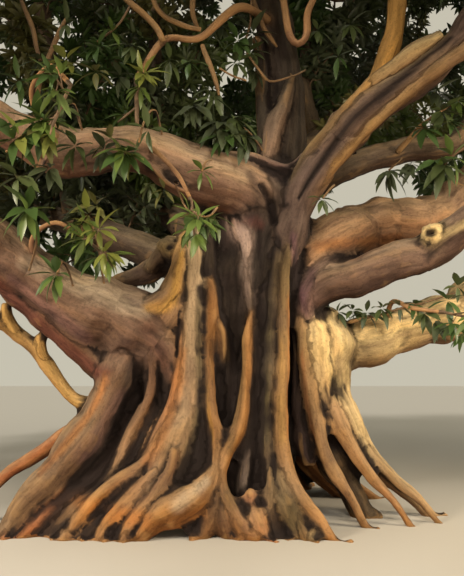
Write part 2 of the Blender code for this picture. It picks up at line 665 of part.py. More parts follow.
def run_crosses(a, b, outline):
    """Whether the straight run from a to b passes through a leaf."""
    for face in (outline[:3], (outline[0], *outline[2:])):
        hit = intersect_ray_tri(*face, b - a, a, True)
        if hit and (hit - a).dot(b - a) < (b - a).length_squared:
            return True
    return False


def outlines_cross(one, two):
    """Whether two leaves pass through each other."""
    return any(run_crosses(a, b, second) for first, second in ((one, two), (two, one))
               for a, b in zip(first, (*first[1:], first[0])))


def seek_leaf(mass, masses, lines, wood, placed, start, end, place, side, rng):
    """A leaf on the twig, clear of the limbs, other twigs and leaves so far, or None."""
    direction = (end - start).normalized()
    outward = (mass.centre - Vector((CROWN_X, CROWN_Y, CROWN_HEART_Z))).normalized()
    level = direction.cross(outward).normalized()
    swing = math.copysign(LEAF_SWING_DEG if place < 1.0 else END_SWING_DEG, side)
    root = start.lerp(end, place) - (direction * abs(side) if place == 1.0 else Vector())
    length = mass.leaf * rng.uniform(0.9, 1.1)
    for attempt in range(LEAF_TRIES):
        turn = math.radians(swing * rng.uniform(0.85, 1.3))
        heading = direction * math.cos(turn) + level * math.sin(turn) - UP * LEAF_DROOP * rng.random()
        heading.normalize()
        normal = outward + LEAF_ROLL * Vector((rng.uniform(-1, 1), rng.uniform(-1, 1), rng.uniform(0, 1)))
        tip = root + heading * length
        outline = leaf_outline(root, tip, normal)
        wide = (outline[1] + outline[3]) / 2
        samples = [*outline[1:], wide, *(wide.lerp(corner, 0.5) for corner in outline[1:])]
        if (all(in_space(corner, mass, masses) for corner in outline[1:])
                and clear_of_limbs(samples, lines, LIMB_MARGIN * mass.leaf)
                and not any(run_crosses(a, b, outline) for a, b in wood)
                and not any(outlines_cross(outline, other) for other in placed)):
            placed.append(outline)
            return root, tip, normal
        length *= LEAF_SHRINK
    return None


def mass_name(mass):
    kind, place = mass.limb.split("_", 1)
    return {"bough": "foliage_", "fork": "foliage_fork_", "branch": "spray_"}[kind] + place


def build_mass(index, mass, masses, lines):
    name = mass_name(mass)
    rng = random.Random(MASS_SEED + index)
    points, radii = limb_own(LIMBS[mass.limb])
    along = (points[-1] - points[-2]).normalized()
    segments, twigs = grow_twigs(mass, masses, points[-1], along, radii[-1], rng)
    stem = cone_object(name, *segments[0], STEM_SIDES)
    pieces = [cone_object(name + "_stem", *segments[1], STEM_SIDES)]
    placed = []
    side = 1
    for start, end, thick, thin in twigs:
        samples = [start.lerp(end, t / 6) for t in range(1, 7)]
        if not clear_of_limbs(samples, lines, LIMB_MARGIN * mass.leaf):
            continue
        pieces.append(cone_object(name + "_twig", start, end, thick, thin, TWIG_CONE_SIDES))
        wood = [other[:2] for other in (*segments, *twigs) if other[0] is not start]
        for place in LEAF_PLACES:
            side = -side
            leaf = seek_leaf(mass, masses, lines, wood, placed, start, end, place, side * thin, rng)
            if leaf:
                pieces.append(leaf_object(name + "_leaf", *leaf))
    fuse(stem, pieces)
    fill_cavities(stem)
    finish_part(stem, LEAF_COLOURS[index % len(LEAF_COLOURS)], LEAF_ROUGHNESS)
    return len(placed)


def limb_lines():
    """Every limb as short straight runs (start, end, radius), for keeping leaves off them."""
    lines = []
    for limb in LIMBS.values():
        points, radii = limb_line(limb)
        for a, b, r in zip(points, points[1:], radii):
            lines.append((a, b, r))
    return lines


def main():
    clear_scene()
    build_trunk()
    for name, limb in LIMBS.items():
        build_limb(name, limb)
    masses = all_masses()
    lines = limb_lines()
    leaves = [build_mass(i, mass, masses, lines) for i, mass in enumerate(masses)]
    print("leaves by mass:", leaves, "in all", sum(leaves))


main()
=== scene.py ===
"""The looks of the banyan tree: bark with relief, twigs and leaves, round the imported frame.

Metres, +Z up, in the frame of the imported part. The picture looks along +Y, with +X to the right.
"""

import math
import random
from collections import namedtuple

import bmesh
import bpy
import numpy as np
from mathutils import Matrix, Vector, noise
from mathutils.geometry import intersect_ray_tri


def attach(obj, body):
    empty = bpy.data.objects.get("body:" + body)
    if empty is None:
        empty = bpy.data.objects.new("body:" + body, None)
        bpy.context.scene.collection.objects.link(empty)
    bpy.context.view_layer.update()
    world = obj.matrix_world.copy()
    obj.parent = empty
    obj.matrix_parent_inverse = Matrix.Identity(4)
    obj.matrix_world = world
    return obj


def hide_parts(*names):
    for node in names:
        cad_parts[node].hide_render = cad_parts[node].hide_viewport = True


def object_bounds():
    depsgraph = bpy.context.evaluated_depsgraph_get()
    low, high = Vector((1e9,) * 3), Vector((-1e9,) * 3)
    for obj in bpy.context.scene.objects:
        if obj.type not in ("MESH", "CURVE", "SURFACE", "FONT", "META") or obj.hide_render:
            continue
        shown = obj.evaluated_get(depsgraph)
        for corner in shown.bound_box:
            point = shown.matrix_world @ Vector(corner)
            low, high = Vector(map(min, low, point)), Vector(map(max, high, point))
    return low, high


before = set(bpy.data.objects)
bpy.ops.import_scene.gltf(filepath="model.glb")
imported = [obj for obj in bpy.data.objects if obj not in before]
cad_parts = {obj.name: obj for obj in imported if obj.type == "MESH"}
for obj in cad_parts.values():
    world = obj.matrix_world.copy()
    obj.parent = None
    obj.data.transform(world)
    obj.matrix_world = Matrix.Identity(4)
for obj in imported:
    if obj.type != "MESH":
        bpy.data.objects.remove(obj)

cad_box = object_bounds()

# The camera stands at eye height, 7 m from the trunk, and looks up a little.
CAMERA_PLACE, CAMERA_PITCH_DEG = (0.0, -7.0, 1.5), 98.4
CAMERA_LENS, SENSOR = 37.5, 36.0

# The studio: floor, world, sun and soft lamps with faded cones.
FLOOR_REACH, FLOOR_COLOUR, FLOOR_ROUGHNESS = 90.0, (0.5, 0.47, 0.42), 0.9
WORLD_COLOUR, WORLD_STRENGTH = (0.97, 0.91, 0.73), 0.58
SUN_STRENGTH, SUN_SIZE_DEG, SUN_COLOUR = 1.8, 12, (1.0, 0.95, 0.86)
SUN_PITCH_DEG, SUN_TURN_DEG = 48, -28
CONE_DEG = 96
LAMPS = {  # place, target, radius, watts, colour
    "key_left": ((-6.5, -5.6, 4.3), (-0.3, -0.4, 2.2), 0.8, 2500, (1.0, 0.86, 0.66)),
    "bounce": ((0.5, -9.5, 1.6), (0.1, -0.3, 1.0), 1.2, 420, (1.0, 0.72, 0.45)),
    "front_high": ((1.6, -5.6, 4.4), (1.2, -0.2, 2.6), 0.7, 620, (1.0, 0.88, 0.7)),
    "side_right": ((7.5, -3.2, 3.6), (1.0, -0.1, 2.2), 1.1, 2250, (1.0, 0.84, 0.6)),
}

# The source's rule, written again here: the limbs.
GAP = 0.0003
CORE_STOPS = ((0.1, 0.12, -0.5), (0.1, 0.12, 1.0), (0.14, 0.1, 2.3), (0.26, 0.06, 3.2), (0.5, 0.08, 3.9))
CORE_RADII = (0.8, 0.58, 0.52, 0.5, 0.34)
BACK_ROOTS = 7
BACK_FROM_DEG, BACK_TO_DEG = 32.0, 172.0
BACK_HEIGHTS = (2.7, 1.5, 0.75, 0.3, -0.07)
BACK_REACHES = (0.46, 0.62, 0.86, 1.2, 1.75)
BACK_RADII = (0.17, 0.19, 0.19, 0.17, 0.1)
BACK_SPREAD = 0.22
BACK_SEED = 11

Limb = namedtuple("Limb", "stops thick thin taper cut rings until", defaults=(None,))
BOUGH_RINGS, FORK_RINGS, TWIG_RINGS = 10, 7, 8


def bough(stops, thick, thin, cut, taper=1.0):
    return Limb(stops, thick, thin, taper, cut, BOUGH_RINGS)


def fork(stops, thick, thin, cut, taper=1.0):
    return Limb(stops, thick, thin, taper, cut, FORK_RINGS)


def branch(stops, thick, thin, cut, rings=TWIG_RINGS, until=None):
    return Limb(stops, thick, thin, 1.0, cut, rings, until)


LOOP_STOPS = (
    (0.5, 0.36, 6.6), (0.55, -0.1, 6.5), (0.62, -0.32, 6.0), (0.68, -0.4, 5.52), (0.78, -0.43, 5.38),
    (0.88, -0.43, 5.5), (0.9, -0.42, 5.78), (1.03, -0.4, 6.2), (0.95, -0.35, 6.95))
LOOP_BEND, LOOP_RINGS = 1.68, 17
LIMBS = {
    "bough_left_low": bough(((-0.35, 0.0, 1.8), (-1.35, -0.35, 1.95), (-2.44, -0.8, 2.7), (-4.2, -0.9, 3.7),
        (-5.7, -0.3, 4.7)), 0.56, 0.12, 1.35, 0.7),
    "bough_left_high": bough(((0.45, -0.3, 3.45), (-0.2, -0.6, 3.66), (-0.9, -0.75, 3.88),
        (-1.94, -1.05, 3.88), (-4.9, -2.5, 5.1)), 0.34, 0.11, 1.4),
    "bough_centre": bough(((0.5, 0.1, 3.5), (0.61, 0.2, 4.4), (0.64, 0.27, 5.2), (0.52, 0.35, 6.5),
        (0.35, 0.35, 8.2), (-0.4, 0.0, 9.8)), 0.34, 0.1, 1.1),
    "bough_right_rising": bough(((0.5, -0.12, 2.9), (1.0, -0.35, 3.8), (1.5, -0.45, 4.48), (2.6, -0.7, 5.3),
        (3.3, -1.3, 7.0), (3.2, -1.7, 8.3)), 0.36, 0.11, 1.1),
    "bough_right_upper": bough(((0.5, 0.2, 3.6), (1.45, 0.4, 4.15), (2.2, 0.5, 4.42), (3.1, 0.65, 4.7),
        (4.1, 0.95, 6.4), (3.9, 1.2, 8.2)), 0.27, 0.1, 0.85),
    "bough_right_middle": bough(((0.35, 0.08, 2.85), (1.13, 0.15, 3.15), (1.84, 0.25, 3.37),
        (2.7, 0.38, 3.57), (5.1, 2.6, 5.9)), 0.36, 0.1, 0.95),
    "bough_right_knot": bough(((0.45, -0.1, 2.25), (1.28, -0.3, 2.57), (1.77, -0.4, 2.76),
        (2.5, -0.55, 3.1), (5.2, -2.4, 5.4)), 0.3, 0.09, 0.95, 1.6),
    "bough_right_low": bough(((0.6, 0.1, 1.5), (1.43, 0.3, 1.85), (2.2, 0.4, 2.12), (2.95, 0.5, 2.35),
        (5.9, 0.5, 4.9)), 0.44, 0.12, 1.15),
    "bough_back_right": bough(((0.4, 0.1, 3.1), (0.85, 1.05, 4.3), (1.8, 2.9, 5.9), (2.9, 4.9, 7.5)), 0.27,
        0.1, 1.3),
    "bough_back": bough(((0.2, 0.1, 2.8), (0.28, 1.2, 3.9), (0.2, 3.2, 5.2), (0.2, 5.4, 6.2)), 0.29, 0.1,
        1.3),
    "bough_back_left": bough(((0.05, 0.1, 2.6), (-0.55, 1.15, 3.5), (-1.6, 3.0, 4.5), (-2.5, 4.8, 5.1)),
        0.27, 0.1, 1.3),
    "bough_left_back": bough(((0.0, 0.05, 2.4), (-1.05, 0.65, 3.1), (-2.8, 1.7, 3.9), (-4.6, 2.9, 4.6)),
        0.26, 0.1, 1.1),
    "bough_front": bough(((0.5, 0.36, 6.7), (0.42, -0.6, 7.2), (0.3, -2.4, 7.4), (0.2, -4.9, 6.3)), 0.16,
        0.08, 0.6),
    "fork_left_high": fork(((-2.7, -1.37, 4.08), (-2.95, -2.2, 4.5), (-2.9, -4.3, 5.4)), 0.15, 0.08, 0.6),
    "fork_right_rising": fork(((1.5, -0.45, 4.48), (1.78, -0.4, 5.1), (1.99, -0.35, 5.9), (2.1, -0.2, 8.0),
        (1.7, -0.4, 9.9)), 0.13, 0.07, 0.62),
    "fork_right_knot": fork(((3.4, -1.05, 3.75), (3.5, -2.1, 4.4), (3.1, -4.2, 5.5)), 0.13, 0.08, 0.55),
    "fork_back_right": fork(((1.35, 2.05, 5.2), (1.2, 2.5, 6.4), (1.5, 3.1, 8.0)), 0.15, 0.09, 0.55),
    "fork_back_left": fork(((-1.1, 2.15, 4.1), (-1.25, 2.5, 5.6), (-1.4, 2.9, 8.0)), 0.15, 0.09, 0.6),
    "fork_left_back": fork(((-2.3, 1.4, 3.72), (-2.6, 1.3, 5.6), (-3.0, 0.9, 8.1)), 0.15, 0.09, 0.6),
    "fork_centre_left": fork(((0.44, 0.36, 7.3), (-0.5, -0.6, 8.0), (-2.0, -1.8, 8.5)), 0.13, 0.08, 0.66),
    "fork_centre_front": fork(((0.38, -1.2, 7.34), (0.42, -1.8, 8.1), (0.45, -2.8, 8.6)), 0.12, 0.08, 0.5),
    "fork_centre_back": fork(((0.35, 0.35, 8.2), (0.4, 0.9, 9.1), (0.25, 1.4, 10.0)), 0.11, 0.08, 0.45),
    "prop_root_left": branch(((-1.3, -0.35, 1.15), (-1.72, -0.34, 1.2), (-1.93, -0.36, 1.4),
        (-2.2, -0.4, 1.7), (-2.65, -0.5, 1.98), (-3.05, -0.6, 2.3), (-3.3, -0.8, 3.05)), 0.085, 0.075, 0.42,
        rings=9),
    "branch_top_left": branch(((0.56, 0.32, 6.1), (0.09, -0.55, 5.76), (-0.36, -0.75, 5.26),
        (-0.74, -0.85, 5.18), (-1.0, -0.95, 4.7)), 0.06, 0.035, 0.42),
    "branch_loop_down": branch(LOOP_STOPS, 0.06, 0.03, 0.52, rings=LOOP_RINGS, until=LOOP_BEND),
    "branch_loop_up": branch(LOOP_STOPS, 0.06, 0.03, LOOP_BEND, rings=LOOP_RINGS),
    "branch_front_left": branch(((-1.9, -1.04, 3.9), (-2.0, -1.35, 4.3), (-1.75, -1.6, 4.45),
        (-1.55, -1.7, 4.25)), 0.04, 0.025, 0.42, rings=6),
    "branch_left_low": branch(((-2.0, -0.65, 2.4), (-2.05, -1.0, 2.85), (-1.75, -1.25, 3.0),
        (-1.45, -1.3, 2.85)), 0.035, 0.022, 0.58, rings=6),
    "branch_hanging": branch(((-0.9, -0.75, 3.88), (-0.8, -1.1, 3.8), (-0.55, -1.25, 3.5),
        (-0.42, -1.28, 3.25)), 0.032, 0.02, 0.45, rings=5),
    "branch_right_low": branch(((1.9, 0.36, 2.05), (1.85, -0.1, 2.35), (2.0, -0.4, 2.25),
        (2.25, -0.5, 2.2)), 0.035, 0.022, 0.5, rings=6),
}

# The source's rule, written again here: the masses.
Mass = namedtuple("Mass", "limb centre spread height leaf twigs")
CROWN_X, CROWN_Y, CROWN_HEART_Z = 0.2, 0.3, 4.0
CROWN_LEAF, SPRAY_LEAF = 1.9, 0.34
OUTER_RADIUS, OUTER_SPREAD, OUTER_HEIGHT = 6.9, 2.6, 2.25
INNER_RADIUS, INNER_Z, INNER_SPREAD, INNER_HEIGHT = 4.2, 9.3, 2.6, 2.3
TOP_RADIUS, TOP_Z, TOP_SPREAD, TOP_HEIGHT = 1.75, 11.2, 2.4, 2.0
CROWN_TWIGS, SPRAY_TWIGS = 6, 3
OUTER_MASSES = (  # the limb, the turn from +X in degrees, and the height of the centre
    ("bough_right_low", 0, 6.6), ("bough_right_middle", 30, 7.3), ("bough_back_right", 60, 8.7),
    ("bough_back", 90, 7.4), ("bough_back_left", 120, 6.3), ("bough_left_back", 150, 5.9),
    ("bough_left_low", 180, 6.1), ("bough_left_high", 210, 6.5), ("fork_left_high", 240, 6.8),
    ("bough_front", 270, 7.1), ("fork_right_knot", 300, 6.9), ("bough_right_knot", 330, 6.7),
)
INNER_MASSES = (
    ("bough_right_rising", -35), ("bough_right_upper", 16), ("fork_back_right", 68),
    ("fork_back_left", 119), ("fork_left_back", 171), ("fork_centre_left", 222), ("fork_centre_front", 274),
)
TOP_MASSES = (
    ("fork_right_rising", 330), ("fork_centre_back", 90), ("bough_centre", 210),
)
SPRAYS = (  # the branch, and the centre and size of the spray that hangs from it
    ("branch_top_left", (-0.98, -1.0, 4.35), 0.5, 0.45),
    ("branch_front_left", (-1.62, -1.75, 4.0), 0.5, 0.42),
    ("branch_left_low", (-1.35, -1.36, 2.75), 0.42, 0.4),
    ("branch_hanging", (-0.4, -1.3, 3.05), 0.36, 0.35),
    ("branch_right_low", (2.45, -0.55, 2.15), 0.45, 0.4),
)
STEM_NECK, STEM_REACH, STEM_BARE = 0.12, 0.72, 0.22
NECK_THIN, STEM_THICK, STEM_THIN, STEM_LAP = 0.85, 0.8, 0.6, 0.4
GOLDEN_DEG = 137.508
TWIG_LEAN_DEG, TWIG_LEAN_END_DEG = (50.0, 95.0), 10.0
TWIG_REACH, TWIG_LEAST = 0.6, 0.15
TWIG_THICK, TWIG_THIN = 0.75, 0.55
TWIG_TESTS, SPACE_STEPS = 6, 20
LEAF_PLACES = (0.35, 0.68, 1.0)
LEAF_TRIES, LEAF_SHRINK = 12, 0.95
LEAF_LENGTHS, LEAF_TURNS = (0.9, 1.1), (0.85, 1.3)
LEAF_SWING_DEG, END_SWING_DEG, LEAF_DROOP, LEAF_ROLL = 60.0, 10.0, 0.7, 0.5
LEAF_WIDTH_SHARE, LEAF_WIDEST = 0.5, -0.08
MASS_MARGIN, LIMB_MARGIN = 0.04, 0.12
MASS_SEED = 300
UP = Vector((0.0, 0.0, 1.0))

# The lines over the bark go by stops (x, y, z, radius): places in centimetres, the radius in millimetres.
CM, MM = 100, 1000
Strand = namedtuple("Strand", "top low stops")


def metres(*stops):
    return tuple((x / CM, y / CM, z / CM, radius / MM) for x, y, z, radius in stops)


def strand(top, low, *stops):
    return Strand(top, low, metres(*stops))


def groove(depth, *stops):
    return metres(*stops), depth


def wash(tint, most, *stops):
    return metres(*stops), tint, most


# The strands over the trunk, finer than the source's roots: the tint at the top, the tint at the foot, and
# the stops from the top down.
STRANDS = {
    "far_left": strand("left", "left_root", (-77, -6, 224, 267), (-95, -20, 205, 352),
        (-113, -34, 179, 321), (-123, -48, 153, 247), (-133, -58, 127, 200), (-146, -68, 99, 196),
        (-163, -79, 74, 186), (-181, -88, 50, 167), (-200, -94, 29, 126), (-223, -102, -6, 101)),
    "left_back": strand("red", "red", (-146, -34, 118, 65), (-166, -38, 99, 86), (-190, -42, 79, 85),
        (-216, -46, 61, 74), (-243, -50, 43, 58), (-277, -55, -6, 46)),
    "curtain": strand("left", "lit_root", (-92, -60, 210, 27), (-88, -64, 190, 48), (-85, -62, 172, 53),
        (-84, -60, 151, 53), (-87, -61, 133, 58), (-95, -63, 114, 57), (-107, -68, 90, 62),
        (-113, -76, 67, 61), (-126, -88, 45, 59), (-149, -96, 28, 53), (-164, -100, 14, 43),
        (-183, -105, -6, 34)),
    "wall_left": strand("core", "core", (-95, -2, 192, 290), (-102, -12, 142, 317), (-119, -24, 94, 319),
        (-137, -38, 53, 288), (-151, -52, 21, 207), (-161, -62, -6, 166)),
    "prop_fork_a": strand("prop", "prop", (-202, -48, 200, 49), (-207, -45, 192, 60), (-208, -42, 180, 66),
        (-202, -39, 164, 60)),
    "prop_fork_b": strand("prop", "prop", (-246, -52, 228, 60), (-245, -48, 215, 71), (-238, -44, 200, 71)),
    "twin": strand("root", "lit_root", (-80, -50, 146, 37), (-83, -57, 124, 58), (-92, -62, 101, 62),
        (-103, -70, 76, 61), (-113, -80, 58, 60), (-125, -92, 41, 54), (-134, -100, 27, 43)),
    "red_low": strand("red", "red", (-108, -53, 109, 32), (-117, -62, 81, 62), (-129, -72, 58, 71),
        (-146, -84, 42, 69), (-167, -92, 27, 63), (-184, -100, 14, 48), (-204, -110, -6, 38)),
    "main_left": strand("fair", "root", (-39, -40, 342, 45), (-42, -43, 320, 73), (-45, -44, 294, 101),
        (-46, -45, 261, 122), (-46, -46, 228, 132), (-45, -49, 184, 141), (-46, -54, 141, 154),
        (-50, -57, 115, 189), (-57, -60, 91, 239), (-66, -66, 67, 261), (-72, -76, 49, 241),
        (-80, -88, 32, 196), (-86, -100, 19, 153), (-90, -108, 6, 94), (-94, -114, -6, 75)),
    "main_edge": strand("lit_root", "red", (-56, -52, 232, 27), (-55, -58, 183, 43), (-58, -63, 146, 47),
        (-65, -68, 118, 47), (-76, -74, 92, 51), (-86, -82, 71, 55)),
    "toe_a": strand("root", "lit_root", (-73, -78, 91, 40), (-79, -84, 76, 60), (-90, -89, 63, 69),
        (-109, -97, 51, 68), (-128, -103, 37, 67), (-140, -107, 23, 57), (-150, -110, 9, 42),
        (-159, -113, -6, 34)),
    "toe_b": strand("root", "lit_root", (-66, -86, 76, 45), (-74, -94, 59, 64), (-86, -100, 45, 72),
        (-101, -105, 31, 71), (-114, -110, 18, 61), (-122, -113, 7, 42), (-129, -116, -6, 34)),
    "toe_c": strand("root", "lit_root", (-57, -90, 76, 44), (-62, -98, 57, 63), (-72, -106, 39, 71),
        (-86, -111, 25, 66), (-97, -115, 12, 51), (-108, -119, -6, 41)),
    "slim": strand("dark_root", "dark_root", (-27, -48, 184, 27), (-29, -54, 152, 53), (-30, -60, 117, 58),
        (-32, -66, 89, 62), (-35, -74, 68, 61), (-43, -85, 49, 54), (-50, -95, 34, 44)),
    "swollen": strand("root", "lit_root", (-24, -46, 258, 17), (-22, -48, 242, 44), (-21, -49, 220, 65),
        (-23, -50, 202, 60), (-26, -52, 183, 54), (-25, -57, 152, 58), (-22, -63, 121, 63),
        (-17, -70, 91, 67), (-15, -80, 67, 75), (-20, -90, 52, 98), (-32, -99, 39, 145),
        (-47, -105, 30, 186), (-60, -109, 23, 179), (-71, -112, 16, 126)),
    "swollen_branch": strand("root", "dark_root", (-20, -49, 215, 38), (-13, -50, 198, 54),
        (-10, -50, 178, 43), (-10, -47, 159, 22)),
    "swollen_side": strand("brown_shade", "root", (-16, -80, 60, 40), (-18, -88, 42, 88),
        (-20, -96, 26, 126), (-24, -102, 13, 114), (-27, -105, 4, 76), (-30, -108, -6, 61)),
    "curved": strand("lit_root", "lit_root", (20, -46, 220, 16), (17, -50, 202, 43), (15, -54, 178, 59),
        (15, -58, 149, 63), (11, -63, 121, 68), (5, -70, 96, 67), (-4, -77, 77, 66), (-11, -86, 59, 64),
        (-11, -93, 44, 63), (-6, -100, 33, 67), (2, -105, 22, 71), (9, -109, 13, 71), (14, -112, 5, 51)),
    "curved_side": strand("brown_shade", "root", (-13, -84, 51, 35), (-12, -93, 35, 78),
        (-10, -100, 22, 105), (-6, -105, 10, 95), (-3, -107, 3, 66), (0, -109, -6, 53)),
    "grey": strand("dark_root", "grey", (26, -44, 209, 27), (26, -47, 168, 54), (23, -51, 131, 59),
        (20, -57, 100, 58), (15, -65, 70, 62), (11, -75, 45, 60), (8, -86, 25, 54), (8, -93, 7, 43),
        (8, -97, -6, 35)),
    "pale": strand("pale", "dark_root", (1, -24, 344, 81), (9, -32, 323, 114), (15, -38, 300, 96),
        (16, -40, 277, 62), (17, -42, 240, 44), (20, -41, 207, 28)),
    "elbow_neck": strand("centre", "core", (30, -24, 387, 117), (42, -26, 365, 198), (49, -20, 340, 233),
        (48, -6, 298, 224), (45, 4, 259, 190)),
    "deep_left": strand("core", "dark_root", (-30, -30, 321, 69), (-27, -34, 278, 79), (-20, -36, 235, 78),
        (-7, -40, 179, 66), (-4, -46, 125, 64), (-8, -54, 84, 52), (-14, -64, 55, 46)),
    "deep_right": strand("core", "dark_root", (39, -28, 298, 80), (36, -34, 246, 84), (34, -40, 190, 66),
        (32, -46, 136, 59), (28, -54, 84, 58), (24, -66, 46, 51)),
    "knee_high": strand("lit_root", "red", (19, -92, 41, 34), (18, -97, 37, 58), (18, -97, 31, 43)),
    "knee_low": strand("lit_root", "red", (20, -100, 24, 43), (23, -105, 19, 71), (26, -109, 12, 71),
        (30, -112, 5, 51), (34, -116, -6, 41)),
    "middle": strand("centre", "middle_root", (62, -10, 363, 59), (59, -26, 327, 81), (53, -32, 290, 91),
        (48, -37, 246, 95), (44, -42, 201, 99), (41, -48, 157, 102), (40, -54, 120, 100),
        (41, -62, 85, 114), (44, -73, 57, 136), (51, -86, 35, 167), (59, -95, 19, 154), (65, -102, 6, 114),
        (69, -107, -6, 91)),
    "lit": strand("ochre", "lit_root", (72, -30, 335, 46), (66, -38, 307, 51), (61, -43, 276, 56),
        (58, -49, 237, 66), (57, -53, 200, 70), (55, -59, 162, 69), (52, -65, 128, 68), (51, -72, 94, 72),
        (53, -81, 66, 75), (60, -92, 43, 78), (72, -102, 27, 72), (85, -109, 14, 61), (100, -117, -6, 49)),
    "foot_a": strand("middle_root", "root", (39, -80, 61, 35), (37, -93, 39, 54), (39, -101, 20, 53),
        (43, -106, 6, 38), (46, -109, -6, 30)),
    "foot_b": strand("middle_root", "root", (50, -88, 51, 34), (56, -99, 31, 53), (63, -107, 16, 47),
        (72, -117, -6, 38)),
    "thin_right": strand("tan", "root", (77, -28, 229, 45), (79, -31, 196, 72), (82, -34, 157, 82),
        (87, -38, 123, 81), (92, -43, 94, 80), (99, -49, 67, 79), (110, -56, 44, 73), (123, -62, 23, 56),
        (137, -69, -6, 45)),
    "right": strand("tan", "lit_root", (100, -4, 217, 70), (100, -12, 194, 109), (101, -16, 173, 119),
        (104, -21, 142, 106), (111, -28, 114, 99), (121, -35, 89, 92), (133, -43, 64, 80),
        (148, -50, 41, 63), (165, -56, 24, 46), (186, -64, -6, 37)),
    "right_twin": strand("beige", "root", (120, -6, 186, 69), (122, -11, 139, 74), (132, -16, 111, 73),
        (143, -22, 83, 72), (158, -30, 59, 60), (179, -38, 35, 48), (197, -44, 20, 37), (221, -52, -6, 29)),
    "right_wide": strand("beige", "tan", (111, 6, 209, 271), (111, -2, 183, 313), (113, -7, 148, 251),
        (122, -12, 115, 203), (136, -16, 82, 167), (163, -18, 48, 121), (199, -16, 18, 77),
        (223, -15, -6, 61)),
    "lobe": strand("lobe", "lobe", (117, -20, 276, 150), (98, -22, 259, 195), (86, -25, 240, 170),
        (83, -27, 223, 113), (85, -27, 211, 56)),
    "neck_right": strand("lobe", "furrow", (86, -10, 363, 83), (77, -16, 324, 129), (73, -20, 288, 139),
        (72, -24, 254, 114), (73, -26, 227, 68)),
    "gold_edge": strand("gold", "ochre", (89, -26, 353, 23), (78, -28, 328, 46), (66, -34, 303, 51),
        (61, -38, 282, 45), (59, -40, 261, 28)),
    "burl": strand("ochre", "ochre", (-48, -20, 271, 115), (-59, -30, 281, 131), (-68, -37, 290, 135),
        (-72, -41, 294, 123)),
    "burl_limb": strand("far", "far", (-60, -20, 281, 127), (-84, -10, 276, 134), (-111, 0, 267, 124),
        (-139, 10, 260, 108)),
    "window_rim": strand("gold", "left", (-53, -44, 310, 39), (-55, -49, 286, 66), (-60, -53, 263, 93),
        (-67, -56, 243, 119), (-81, -58, 227, 129), (-101, -60, 219, 107)),
    "pocket": strand("gold", "left", (-60, -46, 256, 50), (-62, -49, 233, 71), (-65, -50, 211, 87),
        (-66, -49, 185, 76), (-67, -46, 157, 49)),
    "elbow_seam": strand("high", "high", (-90, -98, 374, 16), (-79, -100, 361, 26), (-67, -98, 350, 26),
        (-48, -90, 343, 21)),
    "rim": strand("high", "lobe", (-7, -50, 402, 28), (9, -48, 400, 40), (26, -42, 400, 46),
        (44, -38, 393, 52), (61, -35, 388, 52), (75, -33, 395, 46), (84, -30, 407, 29)),
    "centre_rib": strand("high", "centre", (43, -14, 396, 60), (45, -16, 417, 95), (52, -12, 447, 103),
        (65, -5, 483, 86), (74, 3, 519, 56)),
    "centre_left": strand("centre", "centre", (36, -6, 401, 48), (37, -4, 435, 79), (38, 2, 476, 87),
        (38, 8, 524, 88), (33, 12, 575, 77)),
    "rising_low": strand("gold", "tan", (81, -40, 339, 34), (91, -47, 356, 51), (109, -50, 378, 62),
        (131, -53, 402, 68), (150, -57, 423, 68), (167, -60, 440, 73), (185, -62, 456, 84),
        (206, -66, 473, 96), (231, -71, 492, 101), (265, -78, 514, 100)),
    "knot_stub": strand("beige", "beige", (225, -40, 288, 101), (223, -50, 300, 139), (220, -58, 307, 137)),
    "rising_high": strand("ochre", "gold", (70, -46, 372, 45), (87, -51, 401, 57), (110, -55, 429, 57),
        (134, -58, 457, 57), (152, -60, 475, 62), (168, -60, 490, 57)),
    "fold_mid": strand("left", "root", (-77, -24, 220, 260), (-77, -36, 188, 265), (-79, -42, 157, 206),
        (-84, -48, 125, 128), (-92, -56, 95, 52)),
    "burl_lump": strand("ochre", "far", (-92, -20, 276, 92), (-83, -30, 285, 102), (-78, -38, 290, 96),
        (-74, -43, 297, 73)),
    "burl_top": strand("ochre", "ochre", (-79, -36, 296, 57), (-71, -40, 302, 68), (-63, -40, 301, 62),
        (-58, -37, 294, 51)),
    "rising_band": strand("tan", "beige", (146, -55, 467, 46), (164, -59, 482, 91), (186, -63, 499, 108),
        (210, -68, 515, 102), (235, -72, 530, 68)),
    "right_back": strand("dark_root", "dark_root", (85, 10, 216, 202), (91, 4, 155, 221),
        (98, -2, 101, 216), (114, -8, 56, 190), (132, -16, 25, 132), (146, -22, -6, 105)),
    # back_fill is near black: painted shade in the gap behind the strands.
    "back_fill": strand("core", "core", (-11, -26, 213, 124), (-12, -32, 157, 143), (-10, -40, 104, 140),
        (-2, -50, 63, 137), (4, -62, 29, 112)),
    "window_web": strand("gold", "left", (-51, -42, 276, 67), (-57, -44, 249, 144), (-66, -44, 227, 198),
        (-79, -42, 209, 220)),
    # slot_fill is near black: painted shade in the slot between the strands.
    "slot_fill": strand("core", "dark_root", (-30, -42, 238, 55), (-29, -46, 189, 71), (-29, -50, 146, 70),
        (-25, -56, 105, 74), (-20, -66, 75, 72)),
    "beige_web": strand("beige", "tan", (92, -16, 221, 92), (94, -22, 200, 158), (96, -26, 173, 168),
        (98, -28, 144, 133), (104, -29, 120, 77)),
    "toe_bed": strand("dark_root", "root", (-68, -60, 63, 176), (-84, -74, 39, 211), (-104, -86, 24, 187),
        (-123, -96, 13, 115), (-147, -109, -6, 92)),
    "left_under": strand("left", "left_root", (-266, -78, 274, 137), (-233, -72, 247, 159),
        (-196, -62, 215, 176), (-165, -54, 187, 183), (-142, -48, 163, 173), (-125, -44, 136, 140),
        (-114, -42, 104, 75)),
    "slot_right": strand("core", "furrow", (74, -18, 216, 68), (75, -20, 168, 90), (76, -24, 124, 100),
        (79, -28, 87, 98), (82, -32, 59, 76)),
    "knee_back": strand("dark_root", "dark_root", (24, -70, 40, 40), (24, -84, 28, 79), (24, -93, 16, 87),
        (25, -98, 7, 67), (26, -103, -6, 54)),
}

